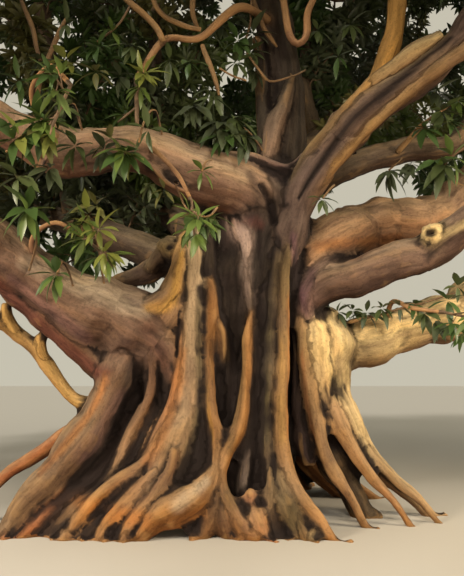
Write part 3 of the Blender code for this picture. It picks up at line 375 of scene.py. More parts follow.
# The feet of the boughs in front, from inside the trunk. Each runs on into its limb's own line, that many
# metres along it.
FEET = {
    "bough_left_low": (2.75, metres((-59, -34, 93, 130), (-63, -34, 127, 218), (-73, -32, 162, 309),
        (-91, -32, 188, 378), (-115, -38, 204, 409), (-140, -46, 215, 394), (-165, -54, 226, 368),
        (-187, -61, 239, 333), (-209, -68, 253, 309), (-233, -76, 268, 307))),
    "bough_left_high": (2.35, metres((80, 30, 311, 149), (59, 14, 340, 232), (36, -10, 355, 297),
        (9, -34, 363, 322), (-27, -56, 369, 307), (-64, -70, 381, 274), (-97, -81, 389, 248),
        (-130, -88, 390, 240))),
    "bough_right_rising": (1.6, metres((56, -20, 202, 113), (56, -21, 241, 148), (60, -24, 278, 172),
        (65, -28, 307, 189), (73, -34, 336, 200), (86, -38, 368, 206), (102, -40, 394, 207))),
    "bough_right_knot": (1.0, metres((75, -22, 211, 57), (81, -22, 225, 125), (91, -23, 240, 188),
        (106, -26, 252, 210), (122, -30, 258, 209))),
    "bough_right_low": (2.45, metres((79, 0, 155, 196), (101, 6, 169, 280), (130, 14, 184, 308),
        (175, 28, 197, 279), (218, 42, 211, 260))),
    "prop_root_left": (1.9, metres((-136, -42, 123, 65), (-152, -38, 121, 81), (-170, -36, 125, 82),
        (-185, -37, 140, 76), (-201, -38, 161, 77), (-217, -40, 182, 77), (-235, -42, 196, 82),
        (-252, -45, 208, 88))),
    "bough_right_middle": (1.25, metres((67, -16, 239, 69), (75, -9, 261, 187), (86, -3, 282, 295),
        (105, 3, 297, 347), (125, 8, 309, 362), (146, 13, 320, 353))),
}

# Grooves pressed in the bark, each with its depth in metres. Depth in y counts for little in them.
GROOVES = (
    groove(0.05, (-129, -80, 167, 21), (-123, -78, 175, 26), (-114, -76, 177, 26), (-106, -72, 173, 31),
        (-102, -66, 163, 42), (-99, -60, 146, 53), (-99, -56, 128, 63)),
    groove(0.04, (-78, -62, 165, 26), (-76, -60, 151, 37), (-74, -56, 134, 42)),
    groove(0.025, (-56, -60, 219, 16), (-58, -60, 193, 21), (-59, -60, 172, 21)),
    groove(0.025, (-61, -56, 236, 22), (-65, -58, 225, 22), (-71, -58, 219, 16)),
    groove(0.05, (-70, -55, 290, 38), (-68, -56, 292, 38)),
    groove(0.13, (214, -75, 304, 48), (216, -75, 304, 48)),
    groove(0.06, (83, -34, 292, 34), (81, -36, 278, 45), (76, -36, 266, 28)),
    groove(0.025, (80, -38, 270, 17), (73, -38, 252, 17), (71, -38, 234, 17)),
    groove(0.025, (66, -42, 306, 17), (65, -44, 276, 17), (65, -44, 251, 17)),
    groove(0.05, (87, -22, 177, 22), (87, -22, 151, 34), (92, -26, 124, 39)),
    groove(0.03, (133, -8, 180, 17), (130, -8, 152, 23), (136, -10, 124, 28)),
    groove(0.03, (0, -44, 290, 22), (4, -46, 256, 22)),
    groove(0.03, (29, -40, 323, 23), (31, -42, 290, 28), (33, -44, 245, 28)),
    groove(0.055, (74, -50, 346, 22), (92, -56, 376, 45), (116, -60, 410, 50), (137, -62, 436, 56),
        (161, -66, 456, 50), (188, -70, 478, 45), (215, -74, 500, 39), (243, -78, 522, 33)),
    groove(0.02, (72, -46, 358, 17), (90, -52, 392, 17), (115, -56, 424, 17), (135, -60, 450, 17)),
    groove(0.06, (34, -52, 363, 45), (43, -46, 344, 51), (47, -42, 322, 45)),
)
GROOVE_Y_SHARE, BAND_SPACING, BAND_MARGIN, BAND_WIDTH = 0.3, 0.02, 0.3, 1.4

# Washes of colour over the bark: the tint, how much of it at most, and the stops. Many are painted light:
# painted shade down shaded sides and under the boughs, painted highlights along lit edges, and painted top
# light on upper faces.
WASHES = (
    # Painted top light on the upper face of the low left bough, and red painted shade under it.
    wash("painted_top_light", 0.3, (-210, -85, 264, 83), (-182, -80, 254, 105), (-150, -75, 242, 126),
        (-119, -68, 228, 117), (-92, -60, 219, 86)),
    wash("red_painted_shade", 0.9, (-256, -100, 253, 91), (-225, -92, 225, 92), (-191, -84, 193, 92),
        (-163, -78, 169, 82), (-141, -70, 153, 62)),
    wash("violet", 0.35, (-223, -105, 246, 60), (-184, -96, 215, 71), (-151, -88, 189, 71)),
    wash("olive_shade", 0.75, (-36, -50, 244, 33), (-35, -60, 178, 42), (-33, -65, 126, 52),
        (-35, -75, 96, 71), (-42, -85, 68, 80), (-49, -95, 49, 68)),
    # Painted highlights down the lit left edges of the main left strand and the far left one.
    wash("orange_colour_and_highlight", 0.6, (-52, -62, 176, 42), (-55, -65, 141, 47), (-62, -72, 114, 51), (-72, -80, 87, 60),
        (-83, -90, 67, 59)),
    wash("orange_colour_and_highlight", 0.6, (-130, -75, 153, 36), (-138, -80, 126, 41), (-151, -90, 102, 40),
        (-167, -100, 80, 39), (-186, -105, 59, 38)),
    wash("brown_shade", 0.8, (-106, -70, 161, 62), (-111, -75, 128, 72), (-122, -85, 97, 70),
        (-137, -95, 71, 68), (-155, -105, 47, 57)),
    # Red painted shade under the high left bough, then painted top light on its upper face.
    wash("red_painted_shade", 0.7, (-135, -110, 357, 41), (-96, -100, 352, 52), (-55, -90, 340, 58),
        (-13, -75, 326, 70), (29, -55, 321, 72)),
    wash("fair", 0.5, (-116, -110, 400, 41), (-65, -95, 391, 58), (-18, -85, 377, 80), (13, -70, 367, 71)),
    wash("brown_shade", 0.75, (105, -50, 224, 65), (138, -60, 234, 65), (179, -70, 248, 64),
        (219, -80, 269, 53)),
    wash("violet", 0.5, (77, -30, 235, 45), (85, -36, 253, 56), (90, -36, 268, 45)),
    wash("red_painted_shade", 0.4, (134, -30, 279, 57), (182, -25, 298, 57), (218, -20, 309, 46)),
    wash("beige", 0.8, (222, -75, 298, 43), (244, -85, 309, 53), (268, -95, 319, 52)),
    wash("violet", 0.7, (68, -45, 305, 39), (71, -45, 274, 44), (77, -50, 244, 49), (81, -50, 220, 44)),
    # A near-black spot of painted shade in the groove by the right neck.
    wash("core", 0.9, (81, -36, 278, 39), (78, -40, 266, 33)),
    # Gold painted highlight on the lit rim of the window over the low left bough.
    wash("glow", 0.85, (-87, -68, 222, 53), (-72, -66, 224, 64), (-62, -62, 236, 54), (-58, -58, 262, 43),
        (-55, -55, 283, 33)),
    # Red painted shade under the foot of the low left bough.
    wash("red_painted_shade", 0.7, (-164, -90, 177, 61), (-144, -86, 163, 61), (-129, -82, 155, 51)),
    wash("olive_shade", 0.75, (11, -50, 200, 33), (10, -55, 157, 43), (5, -60, 115, 47), (-3, -70, 76, 46)),
    wash("red", 0.5, (76, -42, 177, 22), (80, -46, 125, 27), (86, -52, 84, 26)),
    wash("beige", 0.7, (101, -30, 202, 78), (107, -30, 179, 89), (111, -30, 155, 77), (116, -35, 129, 55)),
    # Red painted shade on the trunk below the low left bough's foot.
    wash("red_painted_shade", 0.35, (-86, -70, 198, 84), (-76, -66, 176, 74), (-65, -62, 151, 53)),
    wash("olive_shade", 0.3, (107, -20, 338, 53), (152, -10, 345, 53), (214, 0, 353, 54)),
    # Painted highlight along the front of the right middle bough's foot.
    wash("orange_colour_and_highlight", 0.45, (98, -30, 297, 68), (137, -20, 302, 58), (198, -10, 314, 47)),
    wash("tan", 0.5, (109, -34, 201, 56), (115, -34, 177, 55), (116, -34, 153, 44)),
    wash("olive_shade", 0.7, (40, -45, 233, 44), (37, -50, 178, 49), (35, -60, 126, 47), (35, -70, 86, 41)),
    # Gold painted highlight down the lit strand.
    wash("glow", 0.3, (52, -60, 183, 37), (52, -65, 146, 37), (50, -70, 116, 36), (51, -78, 87, 35)),
    # Painted highlight down the lit left edge of the lit strand.
    wash("orange_colour_and_highlight", 0.6, (63, -50, 233, 33), (62, -56, 183, 32), (60, -62, 136, 31), (58, -70, 91, 31)),
    wash("brown_shade", 0.8, (20, -70, 371, 55), (33, -60, 347, 77), (38, -50, 329, 78)),
    # Warm colour on the toes: partly their own colour, partly painted highlight.
    wash("orange_colour_and_highlight", 0.7, (-149, -105, 34, 67), (-115, -110, 24, 75), (-82, -115, 18, 75)),
    # Painted top light on the upper face of the swollen foot.
    wash("painted_top_light", 0.4, (-50, -122, 32, 65), (-38, -114, 41, 56), (-25, -102, 50, 43)),
    # Warm colour on the front toes: partly their own colour, partly painted highlight.
    wash("orange_colour_and_highlight", 0.6, (-67, -116, 11, 56), (-48, -116, 14, 56), (-30, -110, 24, 47)),
    # Gold painted highlight down the swollen strand.
    wash("glow", 0.5, (-27, -63, 146, 21), (-24, -70, 116, 21), (-20, -78, 87, 20)),
    wash("violet", 0.3, (-114, -80, 128, 92), (-128, -88, 99, 90), (-145, -96, 73, 88)),
    wash("olive_shade", 0.5, (-4, -95, 39, 49), (0, -102, 28, 43)),
    wash("brown_shade", 0.5, (-177, -110, 381, 93), (-146, -110, 374, 103), (-121, -100, 369, 94)),
    wash("olive_shade", 0.5, (58, -100, 33, 58), (60, -110, 13, 66)),
)

# Thin crooked twigs from the limbs.
THIN_WOOD = (
    metres((-155, -110, 402, 13), (-160, -125, 424, 13), (-169, -142, 409, 12), (-178, -155, 389, 12),
        (-195, -160, 372, 9), (-213, -160, 359, 9)),
    metres((-74, -95, 404, 10), (-80, -115, 422, 10), (-87, -132, 405, 9), (-92, -140, 377, 9)),
    metres((-33, -72, 520, 28), (-26, -76, 496, 28), (-18, -80, 473, 28), (-14, -82, 456, 14)),
    metres((34, -45, 406, 11), (20, -65, 417, 11), (12, -80, 419, 10)),
    metres((24, -10, 627, 16), (22, -20, 580, 15), (16, -30, 544, 15), (31, -34, 511, 15),
        (46, -34, 496, 15), (71, -30, 503, 11), (89, -26, 514, 11)),
    metres((22, 5, 637, 32), (37, -10, 586, 31), (49, -12, 561, 31), (56, -10, 552, 12)),
    metres((-75, -88, 513, 38), (-81, -90, 526, 38), (-92, -92, 539, 38), (-111, -95, 555, 38),
        (-124, -100, 567, 33)),
    metres((-35, -76, 535, 28), (-53, -82, 536, 33), (-73, -86, 544, 33), (-85, -90, 557, 33),
        (-90, -92, 575, 33)),
    metres((-39, -76, 537, 28), (-45, -76, 554, 34), (-46, -76, 569, 34), (-44, -78, 585, 28)),
    metres((-14, -78, 488, 14), (0, -80, 478, 14), (15, -80, 473, 10)),
    metres((-203, -115, 400, 31), (-201, -115, 435, 31), (-195, -112, 474, 26), (-184, -110, 507, 26),
        (-177, -110, 528, 13)),
    metres((-197, -112, 468, 26), (-205, -110, 491, 26), (-215, -108, 522, 27), (-234, -105, 564, 14)),
    metres((-111, -95, 554, 14), (-123, -100, 525, 10), (-143, -105, 503, 10)),
    metres((-130, -100, 243, 10), (-129, -120, 261, 9), (-132, -130, 281, 9), (-136, -134, 294, 9)),
    metres((-202, -110, 255, 9), (-187, -135, 280, 9), (-187, -150, 294, 9), (-191, -155, 302, 9)),
    metres((-159, -110, 239, 9), (-160, -140, 258, 9), (-163, -152, 245, 9)),
    metres((-59, -100, 348, 10), (-53, -112, 331, 10), (-46, -118, 317, 10), (-35, -122, 309, 9),
        (-22, -120, 308, 9), (-14, -116, 318, 10)),
    metres((-21, -90, 377, 10), (-27, -105, 370, 10), (-31, -112, 359, 10)),
    metres((210, 10, 417, 15), (197, -10, 403, 11), (185, -20, 391, 11)),
    metres((310, 20, 445, 31), (272, -10, 417, 15), (247, -30, 394, 11)),
    metres((114, -55, 362, 11), (106, -62, 353, 10), (98, -68, 342, 10)),
    metres((120, 5, 211, 29), (138, -12, 213, 29), (168, -22, 220, 14), (201, -28, 229, 14),
        (234, -30, 239, 11), (257, -30, 244, 11)),
    metres((211, 30, 433, 32), (231, 10, 454, 31), (256, 0, 473, 15), (279, 0, 488, 15)),
)
THIN_SWAY, THIN_SIDES = 0.02, 8

# Clusters of near leaves: place and leaf length in centimetres, colour, count, and how far they droop.
TUFTS = (
    (-183, -158, 388, 40, "mid", 9, 0.35), (-178, -160, 391, 36, "fresh", 6, 0.2),
    (-183, -162, 378, 34, "olive", 4, 0.6), (-205, -162, 370, 36, "mid", 7, 0.5),
    (-199, -164, 373, 32, "bright", 3, 0.3), (-163, -150, 408, 30, "dark", 6, 0.2),
    (-103, -142, 366, 36, "mid", 9, 0.45), (-107, -144, 369, 32, "fresh", 5, 0.3),
    (-97, -144, 361, 28, "bright", 3, 0.5), (-120, -130, 385, 30, "olive", 5, 0.2),
    (-84, -130, 394, 26, "dark", 5, 0.2), (-39, -90, 438, 34, "deep", 9, 0.9),
    (-20, -84, 450, 32, "dark", 6, 0.8), (15, -82, 407, 34, "deep", 9, 0.8),
    (9, -84, 411, 26, "dark", 5, 0.6), (-30, -114, 357, 22, "fresh", 6, 0.2),
    (-190, -156, 306, 36, "mid", 8, 0.4), (-191, -158, 302, 32, "fresh", 5, 0.5),
    (-139, -136, 306, 30, "bright", 6, 0.3), (-143, -136, 298, 30, "fresh", 7, 0.6),
    (-132, -136, 314, 26, "olive", 4, 0.1), (-163, -154, 244, 28, "mid", 7, 0.3),
    (-161, -154, 242, 26, "fresh", 4, 0.5), (-36, -124, 306, 30, "mid", 6, 0.5),
    (-42, -124, 311, 26, "fresh", 4, 0.3), (-18, -120, 308, 26, "dark", 5, 0.7),
    (-68, -120, 335, 20, "olive", 4, 0.2), (185, -22, 390, 36, "deep", 10, 1.0),
    (216, -10, 403, 30, "deep", 7, 1.0), (246, -32, 394, 40, "dark", 7, 0.9),
    (257, -30, 405, 34, "fresh", 6, 0.3), (238, -30, 400, 30, "mid", 5, 0.5),
    (98, -70, 341, 22, "dark", 7, 0.3), (122, -10, 224, 22, "deep", 7, 0.2),
    (139, -10, 226, 22, "dark", 7, 0.2), (154, -15, 223, 22, "deep", 7, 0.4),
    (170, -22, 227, 24, "dark", 7, 0.2), (190, -25, 229, 24, "deep", 6, 0.5),
    (205, -28, 231, 26, "mid", 6, 0.3), (215, -32, 221, 28, "dark", 7, 0.9),
    (227, -34, 212, 28, "deep", 7, 1.0), (242, -32, 235, 28, "mid", 6, 0.3),
    (255, -30, 251, 26, "dark", 6, 0.2), (237, 5, 454, 32, "mid", 7, 0.5),
    (258, 0, 474, 34, "dark", 9, 0.5), (253, 0, 499, 32, "deep", 8, 0.5),
    (278, 0, 488, 34, "fresh", 7, 0.4), (268, 0, 460, 30, "mid", 6, 0.6),
    (-143, -106, 498, 28, "mid", 6, 0.3), (-129, -102, 517, 26, "fresh", 4, 0.2),
    (-176, -110, 521, 28, "dark", 6, 0.4), (-169, -130, 469, 30, "bright", 4, 0.3),
    (-138, -130, 456, 30, "olive", 6, 0.3), (-202, -110, 480, 28, "deep", 6, 0.4),
    (-215, -130, 447, 30, "mid", 6, 0.4), (-119, -100, 467, 28, "deep", 7, 0.6),
    (-107, -100, 502, 30, "dark", 6, 0.6), (-68, -90, 491, 28, "dark", 6, 0.7),
    (-46, -85, 491, 30, "mid", 5, 0.7), (-86, -90, 449, 28, "deep", 7, 0.6),
    (-11, -86, 422, 38, "deep", 10, 0.9), (4, -84, 427, 36, "dark", 9, 1.0),
    (-6, -88, 407, 34, "mid", 7, 0.9), (-82, -120, 341, 24, "dark", 6, 0.5),
    (-127, -130, 373, 32, "deep", 8, 0.4), (-153, -140, 373, 34, "dark", 8, 0.5),
    (-174, -150, 347, 30, "deep", 7, 0.6), (-204, -150, 339, 32, "dark", 7, 0.5),
    (-13, 10, 593, 34, "deep", 9, 0.4), (-24, -20, 494, 30, "dark", 8, 0.6),
    (25, -10, 570, 34, "deep", 9, 0.3), (20, -10, 546, 34, "dark", 9, 0.5),
    (27, -10, 523, 30, "deep", 8, 0.7), (5, -30, 522, 30, "dark", 8, 0.4), (7, -30, 550, 32, "mid", 8, 0.5),
    (105, -20, 569, 26, "dark", 6, 0.4), (129, -20, 535, 26, "mid", 5, 0.4),
    (145, -20, 577, 28, "dark", 7, 0.4),
)
TUFT_RUN = (0.0, -0.6, -0.25)

# Ribs on both sides of the roots behind the trunk.
BACK_RIBS, BACK_RIB_SHARE, BACK_ROOT_SHARE, BACK_RIB_TURN = 2, 0.45, 0.85, 0.17
BACK_RIB_OUT, BACK_RIB_LIFT, BACK_RIB_STEP = 0.09, 0.03, 0.02

# How far along each limb the trunk's own mesh holds it. The rest of a limb is a tube in the limbs' mesh.
FUSED_REACH = {
    "bough_left_low": 3.7, "bough_left_high": 3.4, "bough_centre": 3.3, "bough_right_rising": 2.4,
    "bough_right_upper": 3.0, "bough_right_middle": 3.0, "bough_right_knot": 2.8, "bough_right_low": 3.0,
    "prop_root_left": 1.9, "bough_back_right": 1.7, "bough_back": 1.7, "bough_back_left": 1.7,
    "bough_left_back": 2.6,
}
LIMB_LAP = 0.12
LIMB_SIDES = ((0.12, 28), (0.07, 16), (0.0, 10))  # over this radius, that many sides
SLIMMER = {"bough_right_rising": 0.8, "bough_right_upper": 0.74, "bough_right_middle": 1.14}
FOOT_STRIDE = 5

# The skin over the trunk.
SKIN_VOXEL, SKIN_SOFTENING, SOFTENING_SHARE, SKIN_TRIANGLES = 0.025, 4, 0.5, 190000
SKIN_FILLET, SHRINK_STEPS, SHRINK_SMOOTHING = 0.035, 3, 2
STRAND_SIDES, THICK_STRAND, LINE_SPACING = 14, 0.2, 0.055
CURVE_STEPS, LIMB_CURVE_SPACING, UPRIGHT = 24, 0.2, 0.9
TIP_RISE, TIP_RUN, TIP_LIFT, TIP_SHARE = 0.2, 0.12, 0.3, 0.65
END_SHARES = (0.5, 0.85, 0.98)
GROUND_CUT, CRUMB = 0.0005, 2000
NEIGHBOUR_SHARE = 0.65

# The bark's relief, and the unevenness of its lines.
RADIUS_WOBBLE, WOBBLE_SCALE, LEAST_RADIUS = 0.16, 4.7, 0.012
LINE_SWAY, SWAY_SCALE, SWAY_SEED = 0.016, 3.1, 7
STREAK_DEPTH, LUMP_DEPTH, BUMP_DEPTH = (0.16, 0.017), (0.14, 0.04), (0.05, 0.006)
STREAK_SCALE, STREAK_FRACTAL = 8.0, (0.8, 2.1, 3)
CRACK_SCALE, CRACK_SHARE, CRACK_SHARPNESS = 5.0, 0.5, 5
LUMP_SCALE, BUMP_SCALE = 2.6, 13.0

# The bark's attributes: its grain, its tint, and how deep each place lies, from which the material paints
# shade into the creases, recesses and grooves and a highlight onto the ridges.
LINE_MARGIN, GRAIN_SIDE, GRAIN_STRETCH, GRAIN_STEP = 0.35, (0.31, 0.95, 0.05), 0.13, 3.7
TINT_BLEND, TINT_RANGE = 0.02, (-0.3, 0.5)
FINE_EDGE = 0.026
CREASE_ROUNDS, CREASE_DEPTH = 24, 0.024
RECESS_ROUNDS, RECESS_DEPTH, RIDGE_SHARE = 130, 0.065, 1.2
THIN_HOLLOW, THICKNESS_FADE, LEAST_HOLLOW = 1.35, 2.6, 0.3
GROOVE_HOLLOW = 12
# Painted light from above: a paler tint where the bark faces up, and painted shade, darker and redder, where
# it faces down.
FACING_ROUNDS = 8
TOP_LIGHT_TINT, TOP_LIGHT_SHARE, TOP_LIGHT_FROM = (0.44, 0.36, 0.24), 0.42, 3
UNDER_SHADE = (0.3, 0.19, 0.16)

LIMB_TINTS = {
    "bough_left_low": "left", "bough_left_high": "high", "bough_centre": "centre",
    "bough_right_rising": "rising", "bough_right_upper": "upper", "bough_right_middle": "middle",
    "bough_right_knot": "knot", "bough_right_low": "beige", "prop_root_left": "prop",
    "fork_right_rising": "gold", "bough_left_back": "far",
}
# Some tints are painted shade: core and furrow are near black for the recesses between the strands, and
# centre is dark for the upright centre bough and the strands under it, which stand in shade.
TINTS = {  # plain base colours of the bark by strand and limb
    "core": (0.018, 0.012, 0.009), "root": (0.17, 0.074, 0.021), "lit_root": (0.23, 0.097, 0.023),
    "dark_root": (0.06, 0.038, 0.02), "middle_root": (0.11, 0.072, 0.03),
    "left_root": (0.135, 0.074, 0.033), "grey": (0.1, 0.075, 0.065), "red": (0.27, 0.09, 0.03),
    "pale": (0.6, 0.43, 0.36), "gold": (0.42, 0.23, 0.065), "ochre": (0.14, 0.1, 0.045),
    "lobe": (0.2, 0.115, 0.095), "beige": (0.58, 0.43, 0.205), "left": (0.165, 0.098, 0.065),
    "high": (0.3, 0.19, 0.125), "rising": (0.12, 0.08, 0.062), "furrow": (0.06, 0.038, 0.034),
    "centre": (0.05, 0.037, 0.026), "upper": (0.12, 0.085, 0.055), "middle": (0.26, 0.145, 0.075),
    "knot": (0.14, 0.085, 0.06), "prop": (0.42, 0.25, 0.08), "branch": (0.3, 0.16, 0.08),
    # The washes' tints from here on hold painted top light, red painted shade, olive and brown shade, and
    # warm painted highlights.
    "far": (0.1, 0.07, 0.045), "painted_top_light": (0.5, 0.44, 0.33), "red_painted_shade": (0.11, 0.035, 0.025),
    "olive_shade": (0.055, 0.045, 0.022), "orange_colour_and_highlight": (0.34, 0.13, 0.032),
    "brown_shade": (0.045, 0.03, 0.022), "fair": (0.4, 0.3, 0.19), "violet": (0.14, 0.07, 0.085),
    "glow": (0.45, 0.25, 0.06), "twig": (0.17, 0.105, 0.055), "tan": (0.32, 0.2, 0.095),
}
# Painted shade for the creases and recesses, a warm painted highlight for the ridges, and purple-grey
# patches laid at random.
PAINTED_SHADE_BARK, PAINTED_HIGHLIGHT_BARK, SHADE_BARK = (0.012, 0.007, 0.006), (0.6, 0.34, 0.13), (0.13, 0.08, 0.08)
BARK_ROUGHNESS, BARK_SPECULAR = 0.8, 0.2
# The bark's textures, and what each ramp makes of them: (place, brightness or colour).
BARK_FINE = {"Scale": 17.0, "Detail": 7.0, "Roughness": 0.66, "Distortion": 0.3}
BARK_BROAD = {"Scale": 4.6, "Detail": 4.0, "Roughness": 0.55, "Distortion": 0.5}
BARK_PATCHES = {"Scale": 1.5, "Detail": 3.0, "Roughness": 0.5}
BARK_SPECKS = {"Scale": 34.0, "Detail": 3.0, "Roughness": 0.6}
FINE_RAMP = ((0.34, 0.62), (0.5, 0.97), (0.66, 1.28))
BROAD_RAMP, BROAD_SHARE = ((0.35, (0.62, 0.58, 0.6)), (0.5, 1.0), (0.66, (1.3, 1.22, 1.1))), 0.9
SPECK_RAMP, SPECK_SHARE = ((0.36, 0.55), (0.46, 1.0)), 0.5
PATCH_RAMP, RIDGE_HIGHLIGHT_RAMP = ((0.5, 0.0), (0.7, 0.2)), ((0.35, 0.0), (1.0, 0.35))
CREASE_SHADE_RAMP = ((0.02, 0.0), (0.45, 0.9), (0.75, 0.985))
ROUGH_RAMP = ((0.3, 0.92), (0.7, 0.7))
FINE_HEIGHT, SPECK_HEIGHT = 0.7, 0.25
BARK_BUMP, TWIG_BUMP = {"Strength": 0.7, "Distance": 0.035}, {"Strength": 0.4, "Distance": 0.01}
TWIG_SPECKLE = {"Scale": 9.0, "Detail": 4.0, "Roughness": 0.6}
TWIG_RAMP = ((0.35, (0.08, 0.05, 0.027)), (0.55, (0.17, 0.105, 0.06)), (0.7, (0.27, 0.17, 0.09)))

# A spray of small leaves stands in place of each of the source's leaves.
SPRAY_SEED, LIMB_SPRAY_SEED, TUFT_SEED = 4100, 5200, 6300
TWIGLETS, TIP_LEAVES, SIDE_LEAVES = 30, 8, 5
TWIGLET_FROM, TWIGLET_RADII, TWIGLET_BEND = 0.06, (0.007, 0.004), 0.03
TWIGLET_REACH, TWIGLET_RUN, TWIGLET_END = (0.35, 1.05), (0.02, 0.16), 0.97
TWIGLET_SIDE, ROSETTE_SIDE = (0.2, 0.35, 0.9), (0.13, 0.21, 0.97)
SPINE_RADII, SPINE_FROM, SPINE_STRIDE = (0.02, 0.006), 3, 5
SPINE_WAVES, SPINE_SHIFTS, SPINE_SWAY = 5, (0, 6), 0.05
TIP_LEAN_DEG, SIDE_LEAN_DEG, SIDE_PLACES = (25, 95), (40, 80), (0.25, 0.95)
CROWN_LEAF_LENGTH, CROWN_LEAF_WIDTH = (0.19, 0.27), (0.27, 0.36)
CROWN_LEAF_DROOP, CROWN_LEAF_OUT = 0.25, 0.15
FACING_OUT, FACING_UP, FACING_SPREAD = 0.5, 0.6, 0.55
SPRAY_DEPTH = 0.26
LEAF_PIECES = 5
WOOD_POINTS, WOOD_SWAY, WOOD_SIDES, FINE_SIDES = 6, 0.03, 7, 4

LEAF_COLOURS = {
    "deep": (0.058, 0.074, 0.035), "dark": (0.07, 0.094, 0.032), "mid": (0.055, 0.1, 0.026),
    "olive": (0.11, 0.108, 0.034), "fresh": (0.1, 0.15, 0.032), "bright": (0.17, 0.19, 0.04),
}
LEAF_SHARES = {"deep": 0.26, "dark": 0.32, "mid": 0.22, "olive": 0.12, "fresh": 0.06, "bright": 0.02}
LEAF_ROUGHNESS = 0.42

# Sprays that stand on a limb itself: from and to in shares of its length, their count and their length.
LIMB_SPRAYS = {
    "bough_left_back": (0.32, 0.9, 11, 1.5), "bough_back_left": (0.3, 0.9, 11, 1.5),
    "bough_back": (0.35, 0.9, 7, 1.4), "bough_back_right": (0.4, 0.9, 7, 1.4),
    "fork_left_back": (0.15, 0.9, 9, 1.5), "fork_back_left": (0.12, 0.9, 10, 1.5),
    "fork_back_right": (0.3, 0.9, 6, 1.4), "bough_centre": (0.52, 0.9, 8, 1.3),
    "fork_centre_left": (0.2, 0.9, 7, 1.4), "bough_left_low": (0.62, 0.92, 5, 1.3),
    "bough_left_high": (0.62, 0.92, 5, 1.2), "fork_left_high": (0.3, 0.9, 4, 1.2),
    "bough_right_rising": (0.6, 0.92, 6, 1.3), "bough_right_upper": (0.6, 0.92, 5, 1.3),
    "bough_right_middle": (0.6, 0.92, 5, 1.3), "bough_right_knot": (0.6, 0.92, 4, 1.2),
    "bough_right_low": (0.6, 0.92, 5, 1.3), "fork_right_rising": (0.4, 0.9, 6, 1.3),
    "bough_front": (0.4, 0.9, 5, 1.2), "fork_centre_front": (0.2, 0.9, 4, 1.2),
    "fork_right_knot": (0.4, 0.9, 4, 1.2),
}
LIMB_SPRAY_STEPS, LIMB_SPRAY_LENGTHS = (0.1, 0.9), (0.8, 1.15)
LIMB_SPRAY_ALONG, LIMB_SPRAY_RISE, LIMB_SPRAY_SUNK = 0.45, 0.4, 0.7

# The near leaves: those of the small sprays and of the tufts.
NEAR_COLOURS = ("mid", "fresh", "fresh", "bright")
NEAR_STALK, NEAR_STALK_RADII, NEAR_PLACE = 0.5, (0.006, 0.004), 0.4
NEAR_COUNT, NEAR_LENGTH, NEAR_DROOP = 8, 0.25, 0.3
NEAR_LENGTHS, NEAR_WIDTHS, NEAR_OUT = (0.75, 1.1), (0.25, 0.34), 0.015
NEAR_LEAN_DEG, NEAR_FACING, NEAR_FACING_SPREAD = (25, 85), (0.0, -0.35, 1.0), 0.4

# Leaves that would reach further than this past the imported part's box are left off.
LEAF_OVERHANG = 0.24
LEAF_BOX = np.array(cad_box) + LEAF_OVERHANG * np.array(((-1.0,), (1.0,)))

# The small leaf of the crown: a pointed outline folded along its midrib, in four triangles.
LEAF_SHAPE = np.array((
    (0.0, 0.0, 0.0), (0.3, 0.5, 0.22), (0.7, 0.4, 0.12), (1.0, 0.0, -0.22), (0.7, -0.4, 0.12),
    (0.3, -0.5, 0.22),
))
LEAF_FACES = np.array((
    (0, 1, 2), (0, 2, 3), (0, 3, 4), (0, 4, 5),
))
# The near leaf: an arching midrib with a rounded blade on each side, in twelve triangles.
NEAR_SHAPE = np.array((
    (0.0, 0.0, 0.0), (0.28, 0.0, 0.1), (0.55, 0.0, 0.12), (0.8, 0.0, 0.02), (1.0, 0.0, -0.16),
    (0.2, 0.36, 0.22), (0.46, 0.5, 0.27), (0.76, 0.3, 0.12), (0.2, -0.36, 0.22), (0.46, -0.5, 0.27),
    (0.76, -0.3, 0.12),
))
NEAR_FACES = np.array((
    (0, 5, 1), (1, 5, 6), (1, 6, 2), (2, 6, 7), (2, 7, 3), (3, 7, 4), (0, 1, 8), (1, 9, 8), (1, 2, 9),
    (2, 10, 9), (2, 3, 10), (3, 4, 10),
))


def smooth_path(stops, spacing):
    """Points about that far apart on the smooth curve through the stops, shared out by its length."""
    stops = [Vector(stop) for stop in stops]
    ends = [2 * stops[0] - stops[1], *stops, 2 * stops[-1] - stops[-2]]
    fine = []
    for a, b, c, d in zip(ends, ends[1:], ends[2:], ends[3:]):
        for step in range(CURVE_STEPS):
            t = step / CURVE_STEPS
            fine.append(0.5 * (2 * b + (c - a) * t + (2 * a - 5 * b + 4 * c - d) * t**2
                               + (3 * b - a - 3 * c + d) * t**3))
    fine.append(stops[-1])
    lengths = [0.0]
    for a, b in zip(fine, fine[1:]):
        lengths.append(lengths[-1] + (b - a).length)
    count = max(2, round(lengths[-1] / spacing))
    points, at = [], 0
    for i in range(count + 1):
        want = lengths[-1] * i / count
        while at < len(fine) - 2 and lengths[at + 1] < want:
            at += 1
        share = (want - lengths[at]) / max(lengths[at + 1] - lengths[at], 1e-9)
        points.append(fine[at].lerp(fine[at + 1], share))
    return points


def path_length(points):
    return sum((b - a).length for a, b in zip(points, points[1:]))


def limb_line(limb, spacing=None):
    """The limb's points and radii, from inside its parent to its tip."""
    if spacing is None:
        spacing = path_length(smooth_path(limb.stops, LIMB_CURVE_SPACING)) / limb.rings
    points = smooth_path(limb.stops, spacing)
    radii = []
    for i in range(len(points)):
        left = 1 - i / (len(points) - 1)
        radii.append(limb.thin + (limb.thick - limb.thin) * left**limb.taper)
    return points, radii


